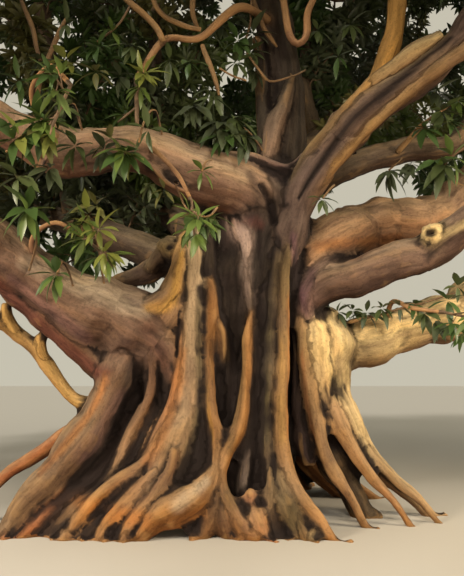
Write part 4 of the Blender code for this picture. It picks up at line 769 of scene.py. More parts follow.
def cut_line(points, radii, at):
    """The line in two, that far along it."""
    run = 0.0
    for i, (a, b) in enumerate(zip(points, points[1:])):
        step = (b - a).length
        if run + step > at:
            break
        run += step
    share = (at - run) / step
    middle = a.lerp(b, share)
    radius = radii[i] + (radii[i + 1] - radii[i]) * share
    before = (points[:i + 1] + [middle], radii[:i + 1] + [radius])
    after = ([middle] + points[i + 1:], [radius] + radii[i + 1:])
    return before, after


def limb_own(limb):
    """The line of the limb's own solid, a gap past its parent's."""
    line = limb_line(limb)
    if limb.until:
        line = cut_line(*line, limb.until)[0]
    points, radii = cut_line(*line, limb.cut)[1]
    along = (points[1] - points[0]).normalized()
    return [points[0] + GAP * along] + points[1:], radii


def ring_mass(limb, turn_deg, radius, z, spread, height):
    turn = math.radians(turn_deg)
    centre = Vector((CROWN_X + radius * math.cos(turn), CROWN_Y + radius * math.sin(turn), z))
    return Mass(limb, centre, spread, height, CROWN_LEAF, CROWN_TWIGS)


def all_masses():
    masses = []
    for limb, turn, z in OUTER_MASSES:
        masses.append(ring_mass(limb, turn, OUTER_RADIUS, z, OUTER_SPREAD, OUTER_HEIGHT))
    for limb, turn in INNER_MASSES:
        masses.append(ring_mass(limb, turn, INNER_RADIUS, INNER_Z, INNER_SPREAD, INNER_HEIGHT))
    for limb, turn in TOP_MASSES:
        masses.append(ring_mass(limb, turn, TOP_RADIUS, TOP_Z, TOP_SPREAD, TOP_HEIGHT))
    for limb, centre, spread, height in SPRAYS:
        masses.append(Mass(limb, Vector(centre), spread, height, SPRAY_LEAF, SPRAY_TWIGS))
    return masses


def in_space(point, mass, masses):
    """Whether the point lies in the mass's ellipsoid and nearer to its centre than to any other's."""
    off = point - mass.centre
    if (off.x**2 + off.y**2) / mass.spread**2 + off.z**2 / mass.height**2 > 1:
        return False
    for other in masses:
        if other is mass:
            continue
        apart = other.centre - mass.centre
        if off.dot(apart) > apart.length * (apart.length / 2 - MASS_MARGIN):
            return False
    return True


def segment_distance(point, a, b):
    ab = b - a
    share = max(0.0, min(1.0, (point - a).dot(ab) / max(ab.length_squared, 1e-12)))
    return (point - a - ab * share).length


def clear_of_limbs(points, lines, margin):
    return not any(segment_distance(point, a, b) < radius + margin
                   for a, b, radius in lines for point in points)


def frame_along(direction, roll):
    """A rotation that turns +Z to the direction, rolled about it."""
    return direction.to_track_quat("Z", "Y").to_matrix() @ Matrix.Rotation(roll, 3, "Z")


def way_out(mass, masses, start, direction):
    """How far the mass's space runs from a point in a direction."""
    step = mass.spread / SPACE_STEPS
    reach = 0.0
    while in_space(start + direction * (reach + step), mass, masses) and reach < 2 * mass.spread:
        reach += step
    return reach


def grow_twigs(mass, masses, tip, along, radius, rng):
    """The rule: the stem's neck and run, and its twigs, each as (start, end, thick, thin)."""
    aim = (mass.centre - tip).normalized()
    stem_start = tip + GAP * along
    bend = stem_start + along * mass.spread * STEM_NECK
    stem_run = way_out(mass, masses, mass.centre, aim) + (mass.centre - bend).length
    stem_end = bend + aim * stem_run * STEM_REACH
    thin = radius * STEM_THIN
    lap = radius * STEM_LAP
    neck = (stem_start, bend + along * lap, radius, radius * NECK_THIN)
    stem = (bend - aim * lap, stem_end, radius * STEM_THICK, thin)
    twigs = []
    turn = rng.uniform(0, 360)
    for i in range(mass.twigs):
        share = i / (mass.twigs - 1)
        root = bend.lerp(stem_end, STEM_BARE + (1 - STEM_BARE) * share)
        turn += GOLDEN_DEG
        lean = math.radians(rng.uniform(*TWIG_LEAN_DEG) if share < 1 else TWIG_LEAN_END_DEG)
        side = frame_along(aim, math.radians(turn)) @ Vector((math.sin(lean), 0.0, math.cos(lean)))
        run = way_out(mass, masses, root, side) * TWIG_REACH
        if run > mass.spread * TWIG_LEAST:
            twigs.append((root, root + side * run, thin * TWIG_THICK, thin * TWIG_THIN))
    return (neck, stem), twigs


def leaf_outline(root, tip, normal):
    """The corners of a leaf's flat outline: root, one side, tip, other side."""
    across = (tip - root).cross(normal).normalized() * (tip - root).length * LEAF_WIDTH_SHARE / 2
    wide = root.lerp(tip, 0.5 + LEAF_WIDEST)
    return root, wide + across, tip, wide - across


def run_crosses(a, b, outline):
    """Whether the straight run from a to b passes through a leaf."""
    for face in (outline[:3], (outline[0], *outline[2:])):
        hit = intersect_ray_tri(*face, b - a, a, True)
        if hit and (hit - a).dot(b - a) < (b - a).length_squared:
            return True
    return False


def outlines_cross(one, two):
    """Whether two leaves pass through each other."""
    return any(run_crosses(a, b, second) for first, second in ((one, two), (two, one))
               for a, b in zip(first, (*first[1:], first[0])))


def seek_leaf(mass, masses, lines, wood, placed, start, end, place, side, rng):
    """A leaf on the twig, clear of the limbs, other twigs and leaves so far, or None."""
    direction = (end - start).normalized()
    outward = (mass.centre - Vector((CROWN_X, CROWN_Y, CROWN_HEART_Z))).normalized()
    level = direction.cross(outward).normalized()
    swing = math.copysign(LEAF_SWING_DEG if place < 1.0 else END_SWING_DEG, side)
    root = start.lerp(end, place) - (direction * abs(side) if place == 1.0 else Vector())
    length = mass.leaf * rng.uniform(*LEAF_LENGTHS)
    for _ in range(LEAF_TRIES):
        turn = math.radians(swing * rng.uniform(*LEAF_TURNS))
        heading = direction * math.cos(turn) + level * math.sin(turn) - UP * LEAF_DROOP * rng.random()
        heading.normalize()
        normal = outward + LEAF_ROLL * Vector((rng.uniform(-1, 1), rng.uniform(-1, 1), rng.uniform(0, 1)))
        tip = root + heading * length
        outline = leaf_outline(root, tip, normal)
        wide = (outline[1] + outline[3]) / 2
        samples = [*outline[1:], wide, *(wide.lerp(corner, 0.5) for corner in outline[1:])]
        if (all(in_space(corner, mass, masses) for corner in outline[1:])
                and clear_of_limbs(samples, lines, LIMB_MARGIN * mass.leaf)
                and not any(run_crosses(a, b, outline) for a, b in wood)
                and not any(outlines_cross(outline, other) for other in placed)):
            placed.append(outline)
            return root, tip, normal
        length *= LEAF_SHRINK
    return None


def mass_name(mass):
    kind, place = mass.limb.split("_", 1)
    return {"bough": "foliage_", "fork": "foliage_fork_", "branch": "spray_"}[kind] + place


def limb_lines():
    """Every limb as short straight runs (start, end, radius), for keeping leaves off them."""
    lines = []
    for limb in LIMBS.values():
        points, radii = limb_line(limb)
        lines += zip(points, points[1:], radii)
    return lines


Grown = namedtuple("Grown", "segments twigs leaves")


def grow_mass(index, mass, masses, lines):
    """The source's mass again: its stem, its twigs and the places of its leaves."""
    rng = random.Random(MASS_SEED + index)
    points, radii = limb_own(LIMBS[mass.limb])
    along = (points[-1] - points[-2]).normalized()
    segments, twigs = grow_twigs(mass, masses, points[-1], along, radii[-1], rng)
    kept, placed, leaves = [], [], []
    side = 1
    for start, end, thick, thin in twigs:
        samples = [start.lerp(end, t / TWIG_TESTS) for t in range(1, TWIG_TESTS + 1)]
        if not clear_of_limbs(samples, lines, LIMB_MARGIN * mass.leaf):
            continue
        kept.append((start, end, thick, thin))
        wood = [other[:2] for other in (*segments, *twigs) if other[0] is not start]
        for place in LEAF_PLACES:
            side = -side
            leaf = seek_leaf(mass, masses, lines, wood, placed, start, end, place, side * thin, rng)
            if leaf:
                leaves.append(leaf)
    return Grown(segments, kept, leaves)


class Pile:
    """Triangles gathered for one piece, each with the index of its material."""

    def __init__(self):
        self.places, self.triangles, self.kinds = [], [], []
        self.count = 0

    def add(self, places, triangles, kind=0):
        self.places.append(places)
        self.triangles.append(np.asarray(triangles) + self.count)
        self.kinds.append(np.full(len(triangles), kind))
        self.count += len(places)

    def build(self, name, materials):
        return mesh_object(name, np.concatenate(self.places), np.concatenate(self.triangles), materials,
                           np.concatenate(self.kinds))


def add_object(name, data):
    obj = bpy.data.objects.new(name, data)
    bpy.context.scene.collection.objects.link(obj)
    return obj


def mesh_object(name, places, triangles, materials, kinds):
    mesh = bpy.data.meshes.new(name)
    mesh.vertices.add(len(places))
    mesh.vertices.foreach_set("co", np.asarray(places, np.float32).ravel())
    mesh.loops.add(len(triangles) * 3)
    mesh.loops.foreach_set("vertex_index", np.asarray(triangles, np.int32).ravel())
    mesh.polygons.add(len(triangles))
    mesh.polygons.foreach_set("loop_start", np.arange(len(triangles), dtype=np.int32) * 3)
    for material in materials:
        mesh.materials.append(material)
    mesh.polygons.foreach_set("material_index", np.asarray(kinds, np.int32))
    mesh.update(calc_edges=True)
    mesh.shade_smooth()
    return add_object(name, mesh)


def unit(vectors):
    return vectors / np.maximum(np.linalg.norm(vectors, axis=-1, keepdims=True), 1e-9)


def band(low, high, sides):
    """The triangles between two rings of places that start at those indices."""
    near = np.arange(sides)
    far = (near + 1) % sides
    return [np.stack([low + near, low + far, high + far], 1),
            np.stack([low + near, high + far, high + near], 1)]


def tube(points, radii, sides):
    """A tube along the points with a shut point at each end: its places and triangles."""
    points = np.array(points, float)
    runs = unit(np.gradient(points, axis=0))
    side = unit(np.cross(runs[0], (0.0, 0.0, 1.0) if abs(runs[0][2]) < UPRIGHT else (1.0, 0.0, 0.0)))
    rings = []
    turns = np.arange(sides) * 2 * math.pi / sides
    for point, run, radius in zip(points, runs, radii):
        side = unit(side - run * np.dot(side, run))
        other = np.cross(run, side)
        rings.append(point + radius * (np.outer(np.cos(turns), side) + np.outer(np.sin(turns), other)))
    places = np.concatenate([*rings, points[:1], points[-1:]])
    triangles = []
    for i in range(len(points) - 1):
        triangles += band(i * sides, (i + 1) * sides, sides)
    near = np.arange(sides)
    far = (near + 1) % sides
    top = (len(points) - 1) * sides
    triangles.append(np.stack([np.full(sides, len(places) - 2), far, near], 1))
    triangles.append(np.stack([np.full(sides, len(places) - 1), top + near, top + far], 1))
    return places, np.concatenate(triangles)


def round_ends(points, radii):
    """The same line with a ball's end instead of a flat one."""
    points, radii = list(points), list(radii)
    for end, near in ((-1, -2), (0, 1)):
        along = (points[end] - points[near]).normalized()
        last, radius = points[end], radii[end]
        for share in END_SHARES:
            at = len(points) if end else 0
            points.insert(at, last + along * radius * share)
            radii.insert(at, radius * math.sqrt(1 - share**2))
    return points, radii


# Every line that the bark follows: its name, its tints, its points and its radii.
Line = namedtuple("Line", "name top low points radii")


def stops_line(stops, sway=LINE_SWAY):
    """The line through stops of (x, y, z, radius), a little uneven in its run and its thickness."""
    points, radii = [], []
    for stop in smooth_path(stops, LINE_SPACING):
        place = stop.to_3d()
        points.append(place + sway * noise.noise_vector(place * SWAY_SCALE))
        radii.append(max(LEAST_RADIUS, stop.w * (1 + RADIUS_WOBBLE * noise.noise(place * WOBBLE_SCALE))))
    return points, radii


def rooted(stops):
    """The stops, run out along the ground to a thin tip if they end near it."""
    before, last = stops[-2:]
    if last[2] > TIP_RISE:
        return stops
    run = (Vector(last[:2]) - Vector(before[:2])).normalized() * TIP_RUN
    return (*stops, (last[0] + run.x, last[1] + run.y, last[3] * TIP_LIFT, last[3] * TIP_SHARE))


def back_strands():
    """The source's roots behind the trunk, each with a rib on either side."""
    rng = random.Random(BACK_SEED)
    core_x, core_y, _ = CORE_STOPS[0]
    for i in range(BACK_ROOTS):
        turn = math.radians(BACK_FROM_DEG + (BACK_TO_DEG - BACK_FROM_DEG) * i / (BACK_ROOTS - 1))
        veer = rng.uniform(-BACK_SPREAD, BACK_SPREAD)
        for rib in range(-1, BACK_RIBS):
            stops = []
            for height, reach, radius in zip(BACK_HEIGHTS, BACK_REACHES, BACK_RADII):
                around = turn + veer * max(0.0, 1 - height) + rib * BACK_RIB_TURN
                out = reach + (BACK_RIB_OUT if rib else 0.0)
                stops.append((core_x + out * math.cos(around), core_y + out * math.sin(around),
                              height + abs(rib) * BACK_RIB_LIFT - BACK_RIB_STEP * rib,
                              radius * (BACK_RIB_SHARE if rib else BACK_ROOT_SHARE)))
            yield Strand("dark_root" if rib else "root", "lit_root" if rib == 1 else "root", tuple(stops))


def trunk_lines():
    core = tuple((*stop, radius) for stop, radius in zip(CORE_STOPS, CORE_RADII))
    lines = [Line("core", "core", "core", *stops_line(core, 0.0))]
    for top, low, stops in (*STRANDS.values(), *back_strands()):
        lines.append(Line("strand", top, low, *stops_line(rooted(stops))))
    return lines


def dressed_limb(name, limb):
    """The source's line of a limb, with the foot that it has in front of the trunk."""
    points, radii = limb_line(limb, LINE_SPACING)
    radii = [radius * SLIMMER.get(name, 1.0) for radius in radii]
    if name not in FEET:
        return points, radii
    join, stops = FEET[name]
    points, radii = cut_line(points, radii, join)[1]
    rest = [(*point, radius) for point, radius in zip(points, radii)][::FOOT_STRIDE]
    return stops_line((*stops, *rest), 0.0)


def limb_bark_lines():
    lines = []
    for name, limb in LIMBS.items():
        tint = "branch" if name.startswith("branch") else LIMB_TINTS.get(name, "far")
        lines.append(Line(name, tint, tint, *dressed_limb(name, limb)))
    return lines


def nearest_lines(places, lines):
    """For each place: its grain along the nearest line, the mix of tints there, and the line's radius."""
    count = len(places)
    best = np.full(count, 1e9)
    grain, mixed = np.zeros((count, 3)), np.zeros((count, 3))
    weight, thickness = np.zeros(count), np.zeros(count)
    for number, line in enumerate(lines):
        points, radii = np.array(line.points), np.array(line.radii)
        reach = radii.max() + LINE_MARGIN
        near = places_within(places, points.min(0) - reach, points.max(0) + reach)
        if not len(near):
            continue
        spots = places[near]
        a, ab = points[:-1], points[1:] - points[:-1]
        spans = np.maximum((ab**2).sum(1), 1e-12)
        along = np.concatenate([[0.0], np.cumsum(np.sqrt(spans))])
        found = np.full(len(near), 1e9)
        where = np.zeros(len(near), int)
        share = np.zeros(len(near))
        for i in range(len(a)):
            t = np.clip(((spots - a[i]) @ ab[i]) / spans[i], 0, 1)
            gap = np.linalg.norm(spots - a[i] - t[:, None] * ab[i], axis=1)
            gap -= radii[i] + (radii[i + 1] - radii[i]) * t
            closer = gap < found
            found[closer] = gap[closer]
            where[closer] = i
            share[closer] = t[closer]
        run = unit(ab)[where]
        off = spots - a[where] - share[:, None] * ab[where]
        side = unit(np.cross(run, GRAIN_SIDE))
        other = np.cross(run, side)
        length = along[where] + share * np.sqrt(spans)[where]
        ahead = length * GRAIN_STRETCH + number * GRAIN_STEP
        own = np.stack([(off * side).sum(1), (off * other).sum(1), ahead], 1)
        closer = found < best[near]
        picked = near[closer]
        best[picked] = found[closer]
        grain[picked] = own[closer]
        thickness[picked] = (radii[where] + (radii[where + 1] - radii[where]) * share)[closer]
        pull = np.exp(-np.clip(found, *TINT_RANGE) / TINT_BLEND)
        low = (length / along[-1])[:, None]
        tint = np.array(TINTS[line.top]) * (1 - low) + np.array(TINTS[line.low]) * low
        mixed[near] += pull[:, None] * tint
        weight[near] += pull
    return grain, mixed / np.maximum(weight, 1e-12)[:, None], thickness


def places_within(places, low, high):
    """The indices of the places inside a box."""
    return np.where(np.all((places > low) & (places < high), axis=1))[0]


def relief(grain, places, thickness):
    """How far the bark stands out at each place."""
    out = np.empty(len(grain))
    streak_most, lump_most, bump_most = (np.minimum(share * thickness, most)
                                         for share, most in (STREAK_DEPTH, LUMP_DEPTH, BUMP_DEPTH))
    for i, (g, p) in enumerate(zip(grain.tolist(), places.tolist())):
        g, p = Vector(g), Vector(p)
        crack = max(0.0, 1 - CRACK_SHARPNESS * abs(noise.noise(g * CRACK_SCALE)))
        streak = noise.fractal(g * STREAK_SCALE, *STREAK_FRACTAL) - CRACK_SHARE * crack
        out[i] = (streak_most[i] * streak + lump_most[i] * noise.noise(p * LUMP_SCALE)
                  + bump_most[i] * noise.noise(p * BUMP_SCALE))
    return out


def read_numbers(items, key, width, kind=np.float32):
    values = np.empty(len(items) * width, kind)
    items.foreach_get(key, values)
    return values.reshape(-1, width)


def mesh_places(mesh):
    return read_numbers(mesh.vertices, "co", 3).astype(float)


def mesh_normals(mesh):
    return read_numbers(mesh.vertex_normals, "vector", 3).astype(float)


def mesh_edges(mesh):
    return read_numbers(mesh.edges, "vertices", 2, np.int32)


def set_places(mesh, places):
    mesh.vertices.foreach_set("co", places.astype(np.float32).ravel())
    mesh.update()


def apply_modifiers(obj):
    graph = bpy.context.evaluated_depsgraph_get()
    mesh = bpy.data.meshes.new_from_object(obj.evaluated_get(graph))
    obj.modifiers.clear()
    obj.data = mesh


def smoothed(values, edges, rounds):
    """The values averaged with their neighbours' over the mesh, that many times."""
    count = len(values)
    ends = np.concatenate([edges[:, 0], edges[:, 1]])
    starts = np.concatenate([edges[:, 1], edges[:, 0]])
    share = np.maximum(np.bincount(ends, minlength=count), 1)
    for _ in range(rounds):
        found = np.stack([np.bincount(ends, values[starts, k], count) for k in range(values.shape[1])], 1)
        values = (1 - NEIGHBOUR_SHARE) * values + NEIGHBOUR_SHARE * found / share[:, None]
    return values


def along_stops(places, stops):
    """The places near a line of stops, and from 0 to 1 how near each is, by the line's radius there."""
    path = np.array([tuple(stop) for stop in smooth_path(stops, BAND_SPACING)])
    near = places_within(places, path[:, :3].min(0) - BAND_MARGIN, path[:, :3].max(0) + BAND_MARGIN)
    share = np.zeros(len(near))
    spots = places[near]
    for stop in path:
        gaps = spots - stop[:3]
        gaps[:, 1] *= GROOVE_Y_SHARE
        share = np.maximum(share, 1 - np.sqrt((gaps**2).sum(1)) / (BAND_WIDTH * stop[3]))
    return near, share


def washed(places, tint):
    """The tint with the washes laid over it, painted shade and painted highlights among them."""
    for stops, name, most in WASHES:
        near, share = along_stops(places, stops)
        blend = (most * share * (2 - share))[:, None]
        tint[near] = tint[near] * (1 - blend) + np.array(TINTS[name]) * blend
    return tint


def hollows(mesh, places, thickness):
    """How far the mesh lies behind its smoothed form: -1 on a ridge, 1 in a crease, a groove or a deep
    recess. The material paints shade from it into the creases and a highlight onto the ridges.
    """
    normals, edges = mesh_normals(mesh), mesh_edges(mesh)
    edge = np.linalg.norm(places[edges[:, 0]] - places[edges[:, 1]], axis=1).mean()
    share = (FINE_EDGE / edge) ** 2
    close = smoothed(places, edges, max(1, round(CREASE_ROUNDS * share)))
    wide = smoothed(close, edges, max(1, round(RECESS_ROUNDS * share)))
    crease = ((close - places) * normals).sum(1) / CREASE_DEPTH
    recess = ((wide - places) * normals).sum(1) / RECESS_DEPTH
    found = np.maximum(crease, recess + RIDGE_SHARE * np.minimum(crease, 0))
    found *= np.clip(THIN_HOLLOW - THICKNESS_FADE * thickness, LEAST_HOLLOW, 1)
    for stops, depth in GROOVES:
        near, share = along_stops(places, stops)
        found[near] = np.maximum(found[near], GROOVE_HOLLOW * depth * share)
    return np.clip(found, -1, 1)


def weathered(tint, normals):
    """The tint paler where the bark faces up, as painted top light, and darker and redder where it faces
    down, as painted shade.
    """
    up, down = np.clip(normals[:, 2:], 0, 1), np.clip(-normals[:, 2:], 0, 1)
    pale = np.clip(tint.sum(1, keepdims=True) * TOP_LIGHT_FROM, 0, 1)
    tint = tint + (np.array(TOP_LIGHT_TINT) - tint) * TOP_LIGHT_SHARE * up * pale
    return tint * (1 - down * (1 - np.array(UNDER_SHADE)))


def set_attribute(mesh, name, kind, values):
    made = mesh.attributes.new(name, kind, "POINT")
    key = {"FLOAT": "value", "FLOAT_VECTOR": "vector", "FLOAT_COLOR": "color"}[kind]
    made.data.foreach_set(key, np.asarray(values, np.float32).ravel())


def dress_bark(obj, lines, material):
    """Gives a bark mesh the attributes that its material reads."""
    mesh = obj.data
    places = mesh_places(mesh)
    grain, tint, thickness = nearest_lines(places, lines)
    normals = smoothed(mesh_normals(mesh), mesh_edges(mesh), FACING_ROUNDS)
    # The tint with painted top light, painted shade underneath, and the washes over it.
    tint = washed(places, weathered(tint, normals))
    set_attribute(mesh, "grain", "FLOAT_VECTOR", grain)
    set_attribute(mesh, "tint", "FLOAT_COLOR", np.concatenate([tint, np.ones((len(tint), 1))], 1))
    # The depth from which the material paints shade into the creases and a highlight onto the ridges.
    set_attribute(mesh, "painted_shade_highlight", "FLOAT", hollows(mesh, places, thickness))
    mesh.materials.clear()
    mesh.materials.append(material)
    mesh.shade_smooth()


def press_grooves(mesh, places):
    normals = mesh_normals(mesh)
    for stops, depth in GROOVES:
        near, share = along_stops(places, stops)
        places[near] -= normals[near] * (depth * share * share * (3 - 2 * share))[:, None]
    return places


def add_relief(obj, lines, grooves=False):
    mesh = obj.data
    places = mesh_places(mesh)
    if grooves:
        places = press_grooves(mesh, places)
    grain, _, thickness = nearest_lines(places, lines)
    set_places(mesh, places + mesh_normals(mesh) * relief(grain, places, thickness)[:, None])


def build_trunk(lines, material):
    """Core, strands and the boughs' feet under one skin, with the bark's relief, cut at the ground."""
    pile = Pile()
    for line in lines:
        if line.name in LIMBS and line.name not in FUSED_REACH:
            continue
        points, radii = line.points, line.radii
        if line.name in FUSED_REACH:
            points, radii = cut_line(points, radii, FUSED_REACH[line.name])[0]
        else:
            points, radii = round_ends(points, radii)
        radii = [radius + SKIN_FILLET for radius in radii]
        pile.add(*tube(points, radii, STRAND_SIDES if max(radii) < THICK_STRAND else 2 * STRAND_SIDES))
    trunk = pile.build("bark_trunk", [])
    remesh = trunk.modifiers.new("skin", "REMESH")
    remesh.mode = "VOXEL"
    remesh.voxel_size = SKIN_VOXEL
    smooth = trunk.modifiers.new("soften", "SMOOTH")
    smooth.factor = SOFTENING_SHARE
    smooth.iterations = SKIN_SOFTENING
    apply_modifiers(trunk)
    shrink_back(trunk.data)
    add_relief(trunk, lines, grooves=True)
    cut_at_ground(trunk.data)
    drop_crumbs(trunk.data)
    decimate = trunk.modifiers.new("thin_out", "DECIMATE")
    decimate.ratio = min(1.0, SKIN_TRIANGLES / sum(len(p.vertices) - 2 for p in trunk.data.polygons))
    apply_modifiers(trunk)
    dress_bark(trunk, lines, material)
    return trunk


def shrink_back(mesh):
    """Takes the fillet's thickness off again: narrow gaps stay filled, the rest gets its own size back."""
    for _ in range(SHRINK_STEPS):
        normals = smoothed(mesh_normals(mesh), mesh_edges(mesh), SHRINK_SMOOTHING)
        set_places(mesh, mesh_places(mesh) - unit(normals) * SKIN_FILLET / SHRINK_STEPS)
    set_places(mesh, smoothed(mesh_places(mesh), mesh_edges(mesh), 1))


def cut_at_ground(mesh):
    """Takes off what reaches below the ground, and closes the flat cut."""
    bm = bmesh.new()
    bm.from_mesh(mesh)
    cut = bmesh.ops.bisect_plane(bm, geom=[*bm.verts, *bm.edges, *bm.faces], plane_co=(0, 0, GROUND_CUT),
                                 plane_no=(0, 0, -1), clear_outer=True)
    edges = [e for e in cut["geom_cut"] if isinstance(e, bmesh.types.BMEdge)]
    bmesh.ops.holes_fill(bm, edges=edges, sides=0)
    bm.to_mesh(mesh)
    bm.free()


def drop_crumbs(mesh):
    """Takes off the small pieces that the cut at the ground leaves loose."""
    edges = mesh_edges(mesh)
    label = np.arange(len(mesh.vertices))
    before = None
    while before is None or (label != before).any():
        before = label.copy()
        lowest = label[edges].min(1)
        np.minimum.at(label, edges[:, 0], lowest)
        np.minimum.at(label, edges[:, 1], lowest)
        label = label[label]
    crumbs = (np.bincount(label, minlength=len(label)) < CRUMB)[label]
    bm = bmesh.new()
    bm.from_mesh(mesh)
    bmesh.ops.delete(bm, geom=[vert for vert, crumb in zip(bm.verts, crumbs) if crumb], context="VERTS")
    bm.to_mesh(mesh)
    bm.free()


def build_limbs(lines, material):
    """The limbs past the trunk's own mesh, and the thin twigs, as tubes with the bark's relief."""
    pile = Pile()
    for line in lines:
        if line.name not in LIMBS or line.name == "branch_loop_up":
            continue
        points, radii = line.points, line.radii
        if line.name in FUSED_REACH:
            points, radii = cut_line(points, radii, FUSED_REACH[line.name] - LIMB_LAP)[1]
        pile.add(*tube(points, radii, next(sides for least, sides in LIMB_SIDES if radii[0] > least)))
    thin = [Line("thin", "twig", "twig", *stops_line(stops, THIN_SWAY)) for stops in THIN_WOOD]
    for line in thin:
        pile.add(*tube(line.points, line.radii, THIN_SIDES))
    limbs = pile.build("bark_limbs", [])
    add_relief(limbs, [*lines, *thin])
    dress_bark(limbs, [*lines, *thin], material)
    return limbs


def lay_leaves(pile, shape, faces, roots, headings, normals, lengths, widths, kind):
    """Adds one leaf for each root: its blade points along its heading and faces along its normal."""
    headings = unit(headings)
    across = unit(np.cross(headings, normals))
    up = np.cross(across, headings)
    x, y, z = shape[:, 0], shape[:, 1], shape[:, 2]
    wide = lengths * widths
    places = (roots[:, None] + headings[:, None] * (x * lengths[:, None])[..., None]
              + across[:, None] * (y * wide[:, None])[..., None]
              + up[:, None] * (z * wide[:, None])[..., None])
    places = places[np.all((places > LEAF_BOX[0]) & (places < LEAF_BOX[1]), axis=(1, 2))]
    triangles = faces[None] + np.arange(len(places))[:, None, None] * len(shape)
    pile.add(places.reshape(-1, 3), triangles.reshape(-1, 3), kind)


def lay_twiglets(pile, starts, middles, ends, thick, thin):
    """Adds thin three-sided twigs, each bent once at its middle."""
    run = unit(ends - starts)
    side = unit(np.cross(run, TWIGLET_SIDE))
    other = np.cross(run, side)
    turns = np.arange(3) * 2 * math.pi / 3
    rings = []
    for place, radius in ((starts, thick), (middles, (thick + thin) / 2), (ends, thin)):
        rings.append(place[:, None] + radius * (np.cos(turns)[None, :, None] * side[:, None]
                                                + np.sin(turns)[None, :, None] * other[:, None]))
    places = np.concatenate(rings, 1)
    faces = np.concatenate(band(0, 3, 3) + band(3, 6, 3))
    triangles = faces[None] + np.arange(len(starts))[:, None, None] * places.shape[1]
    pile.add(places.reshape(-1, 3), triangles.reshape(-1, 3))


def rosette(rng, runs, count, spread):
    """Headings of the leaves round each twig end, set round its run by the golden angle."""
    side = unit(np.cross(runs, ROSETTE_SIDE))
    other = np.cross(runs, side)
    turns = (np.arange(count) * math.radians(GOLDEN_DEG))[None]
    turns = turns + rng.uniform(0, 2 * math.pi, (len(runs), 1))
    lean = np.radians(rng.uniform(*spread, (len(runs), count)))
    return (np.cos(lean)[..., None] * runs[:, None]
            + np.sin(lean)[..., None] * (np.cos(turns)[..., None] * side[:, None]
                                         + np.sin(turns)[..., None] * other[:, None]))


def dress_spray(rng, leaf, outward, wood, leaves, kind):
    """Twiglets and leaves in the outline of one of the source's leaves."""
    root, tip, normal = (np.array(v) for v in leaf)
    length = np.linalg.norm(tip - root)
    along = unit(tip - root)
    across = unit(np.cross(along, normal))
    flat = np.cross(across, along)
    share = np.linspace(TWIGLET_FROM, 1.0, TWIGLETS)
    wave = np.sin(share * SPINE_WAVES + rng.uniform(*SPINE_SHIFTS))
    middle = root + np.outer(share, along) * length + np.outer(wave, flat) * SPINE_SWAY
    spine = [Vector(root), *(Vector(place) for place in middle[SPINE_FROM::SPINE_STRIDE]), Vector(tip)]
    wood.add(*tube(spine, np.linspace(*SPINE_RADII, len(spine)), FINE_SIDES))
    widest = 0.5 + LEAF_WIDEST
    wide = np.where(share < widest, share / widest, (1 - share) / (1 - widest))
    reach = LEAF_WIDTH_SHARE / 2 * length * wide
    side = np.where(np.arange(TWIGLETS) % 2, 1.0, -1.0)
    ends = (middle + np.outer(side * reach * rng.uniform(*TWIGLET_REACH, TWIGLETS), across)
            + np.outer(rng.uniform(*TWIGLET_RUN, TWIGLETS) * (share < TWIGLET_END), along)
            + np.outer(rng.uniform(-1, 1, TWIGLETS) * SPRAY_DEPTH, flat))
    bends = (middle + ends) / 2 + rng.uniform(-TWIGLET_BEND, TWIGLET_BEND, (TWIGLETS, 3))
    lay_twiglets(wood, middle, bends, ends, *TWIGLET_RADII)
    runs = unit(ends - bends + along * TWIGLET_BEND)
    headings = rosette(rng, runs, TIP_LEAVES, TIP_LEAN_DEG)
    roots = np.repeat(ends[:, None], TIP_LEAVES, 1)
    places = rng.uniform(*SIDE_PLACES, (TWIGLETS, SIDE_LEAVES, 1))
    side_roots = middle[:, None] * (1 - places) + ends[:, None] * places
    side_headings = rosette(rng, runs, SIDE_LEAVES, SIDE_LEAN_DEG)
    roots = np.concatenate([roots, side_roots], 1).reshape(-1, 3)
    headings = np.concatenate([headings, side_headings], 1).reshape(-1, 3)
    headings = unit(headings + np.array((0.0, 0.0, -CROWN_LEAF_DROOP)) + outward * CROWN_LEAF_OUT)
    count = len(roots)
    spread = rng.uniform(-FACING_SPREAD, FACING_SPREAD, (count, 3))
    facing = outward * FACING_OUT + np.array((0.0, 0.0, FACING_UP)) + spread
    lay_leaves(leaves, LEAF_SHAPE, LEAF_FACES, roots, headings, facing,
               rng.uniform(*CROWN_LEAF_LENGTH, count), rng.uniform(*CROWN_LEAF_WIDTH, count), kind)


def limb_sprays(name):
    """Where sprays stand on a limb: root, tip and normal, set round it by the golden angle."""
    start, stop, count, length = LIMB_SPRAYS[name]
    rng = random.Random(LIMB_SPRAY_SEED + list(LIMBS).index(name))
    points, radii = limb_line(LIMBS[name], LINE_SPACING)
    turn = rng.uniform(0, 360)
    for i in range(count):
        share = start + (stop - start) * (i + rng.uniform(*LIMB_SPRAY_STEPS)) / count
        at = int(share * (len(points) - 2))
        along = (points[at + 1] - points[at]).normalized()
        turn += GOLDEN_DEG
        side = frame_along(along, math.radians(turn)) @ Vector((1.0, 0.0, 0.0))
        heading = (side + LIMB_SPRAY_ALONG * along + LIMB_SPRAY_RISE * UP).normalized()
        root = points[at] + side * radii[at] * LIMB_SPRAY_SUNK
        tip = root + heading * length * rng.uniform(*LIMB_SPRAY_LENGTHS)
        yield root, tip, heading.cross(along).normalized() + LIMB_SPRAY_RISE * UP


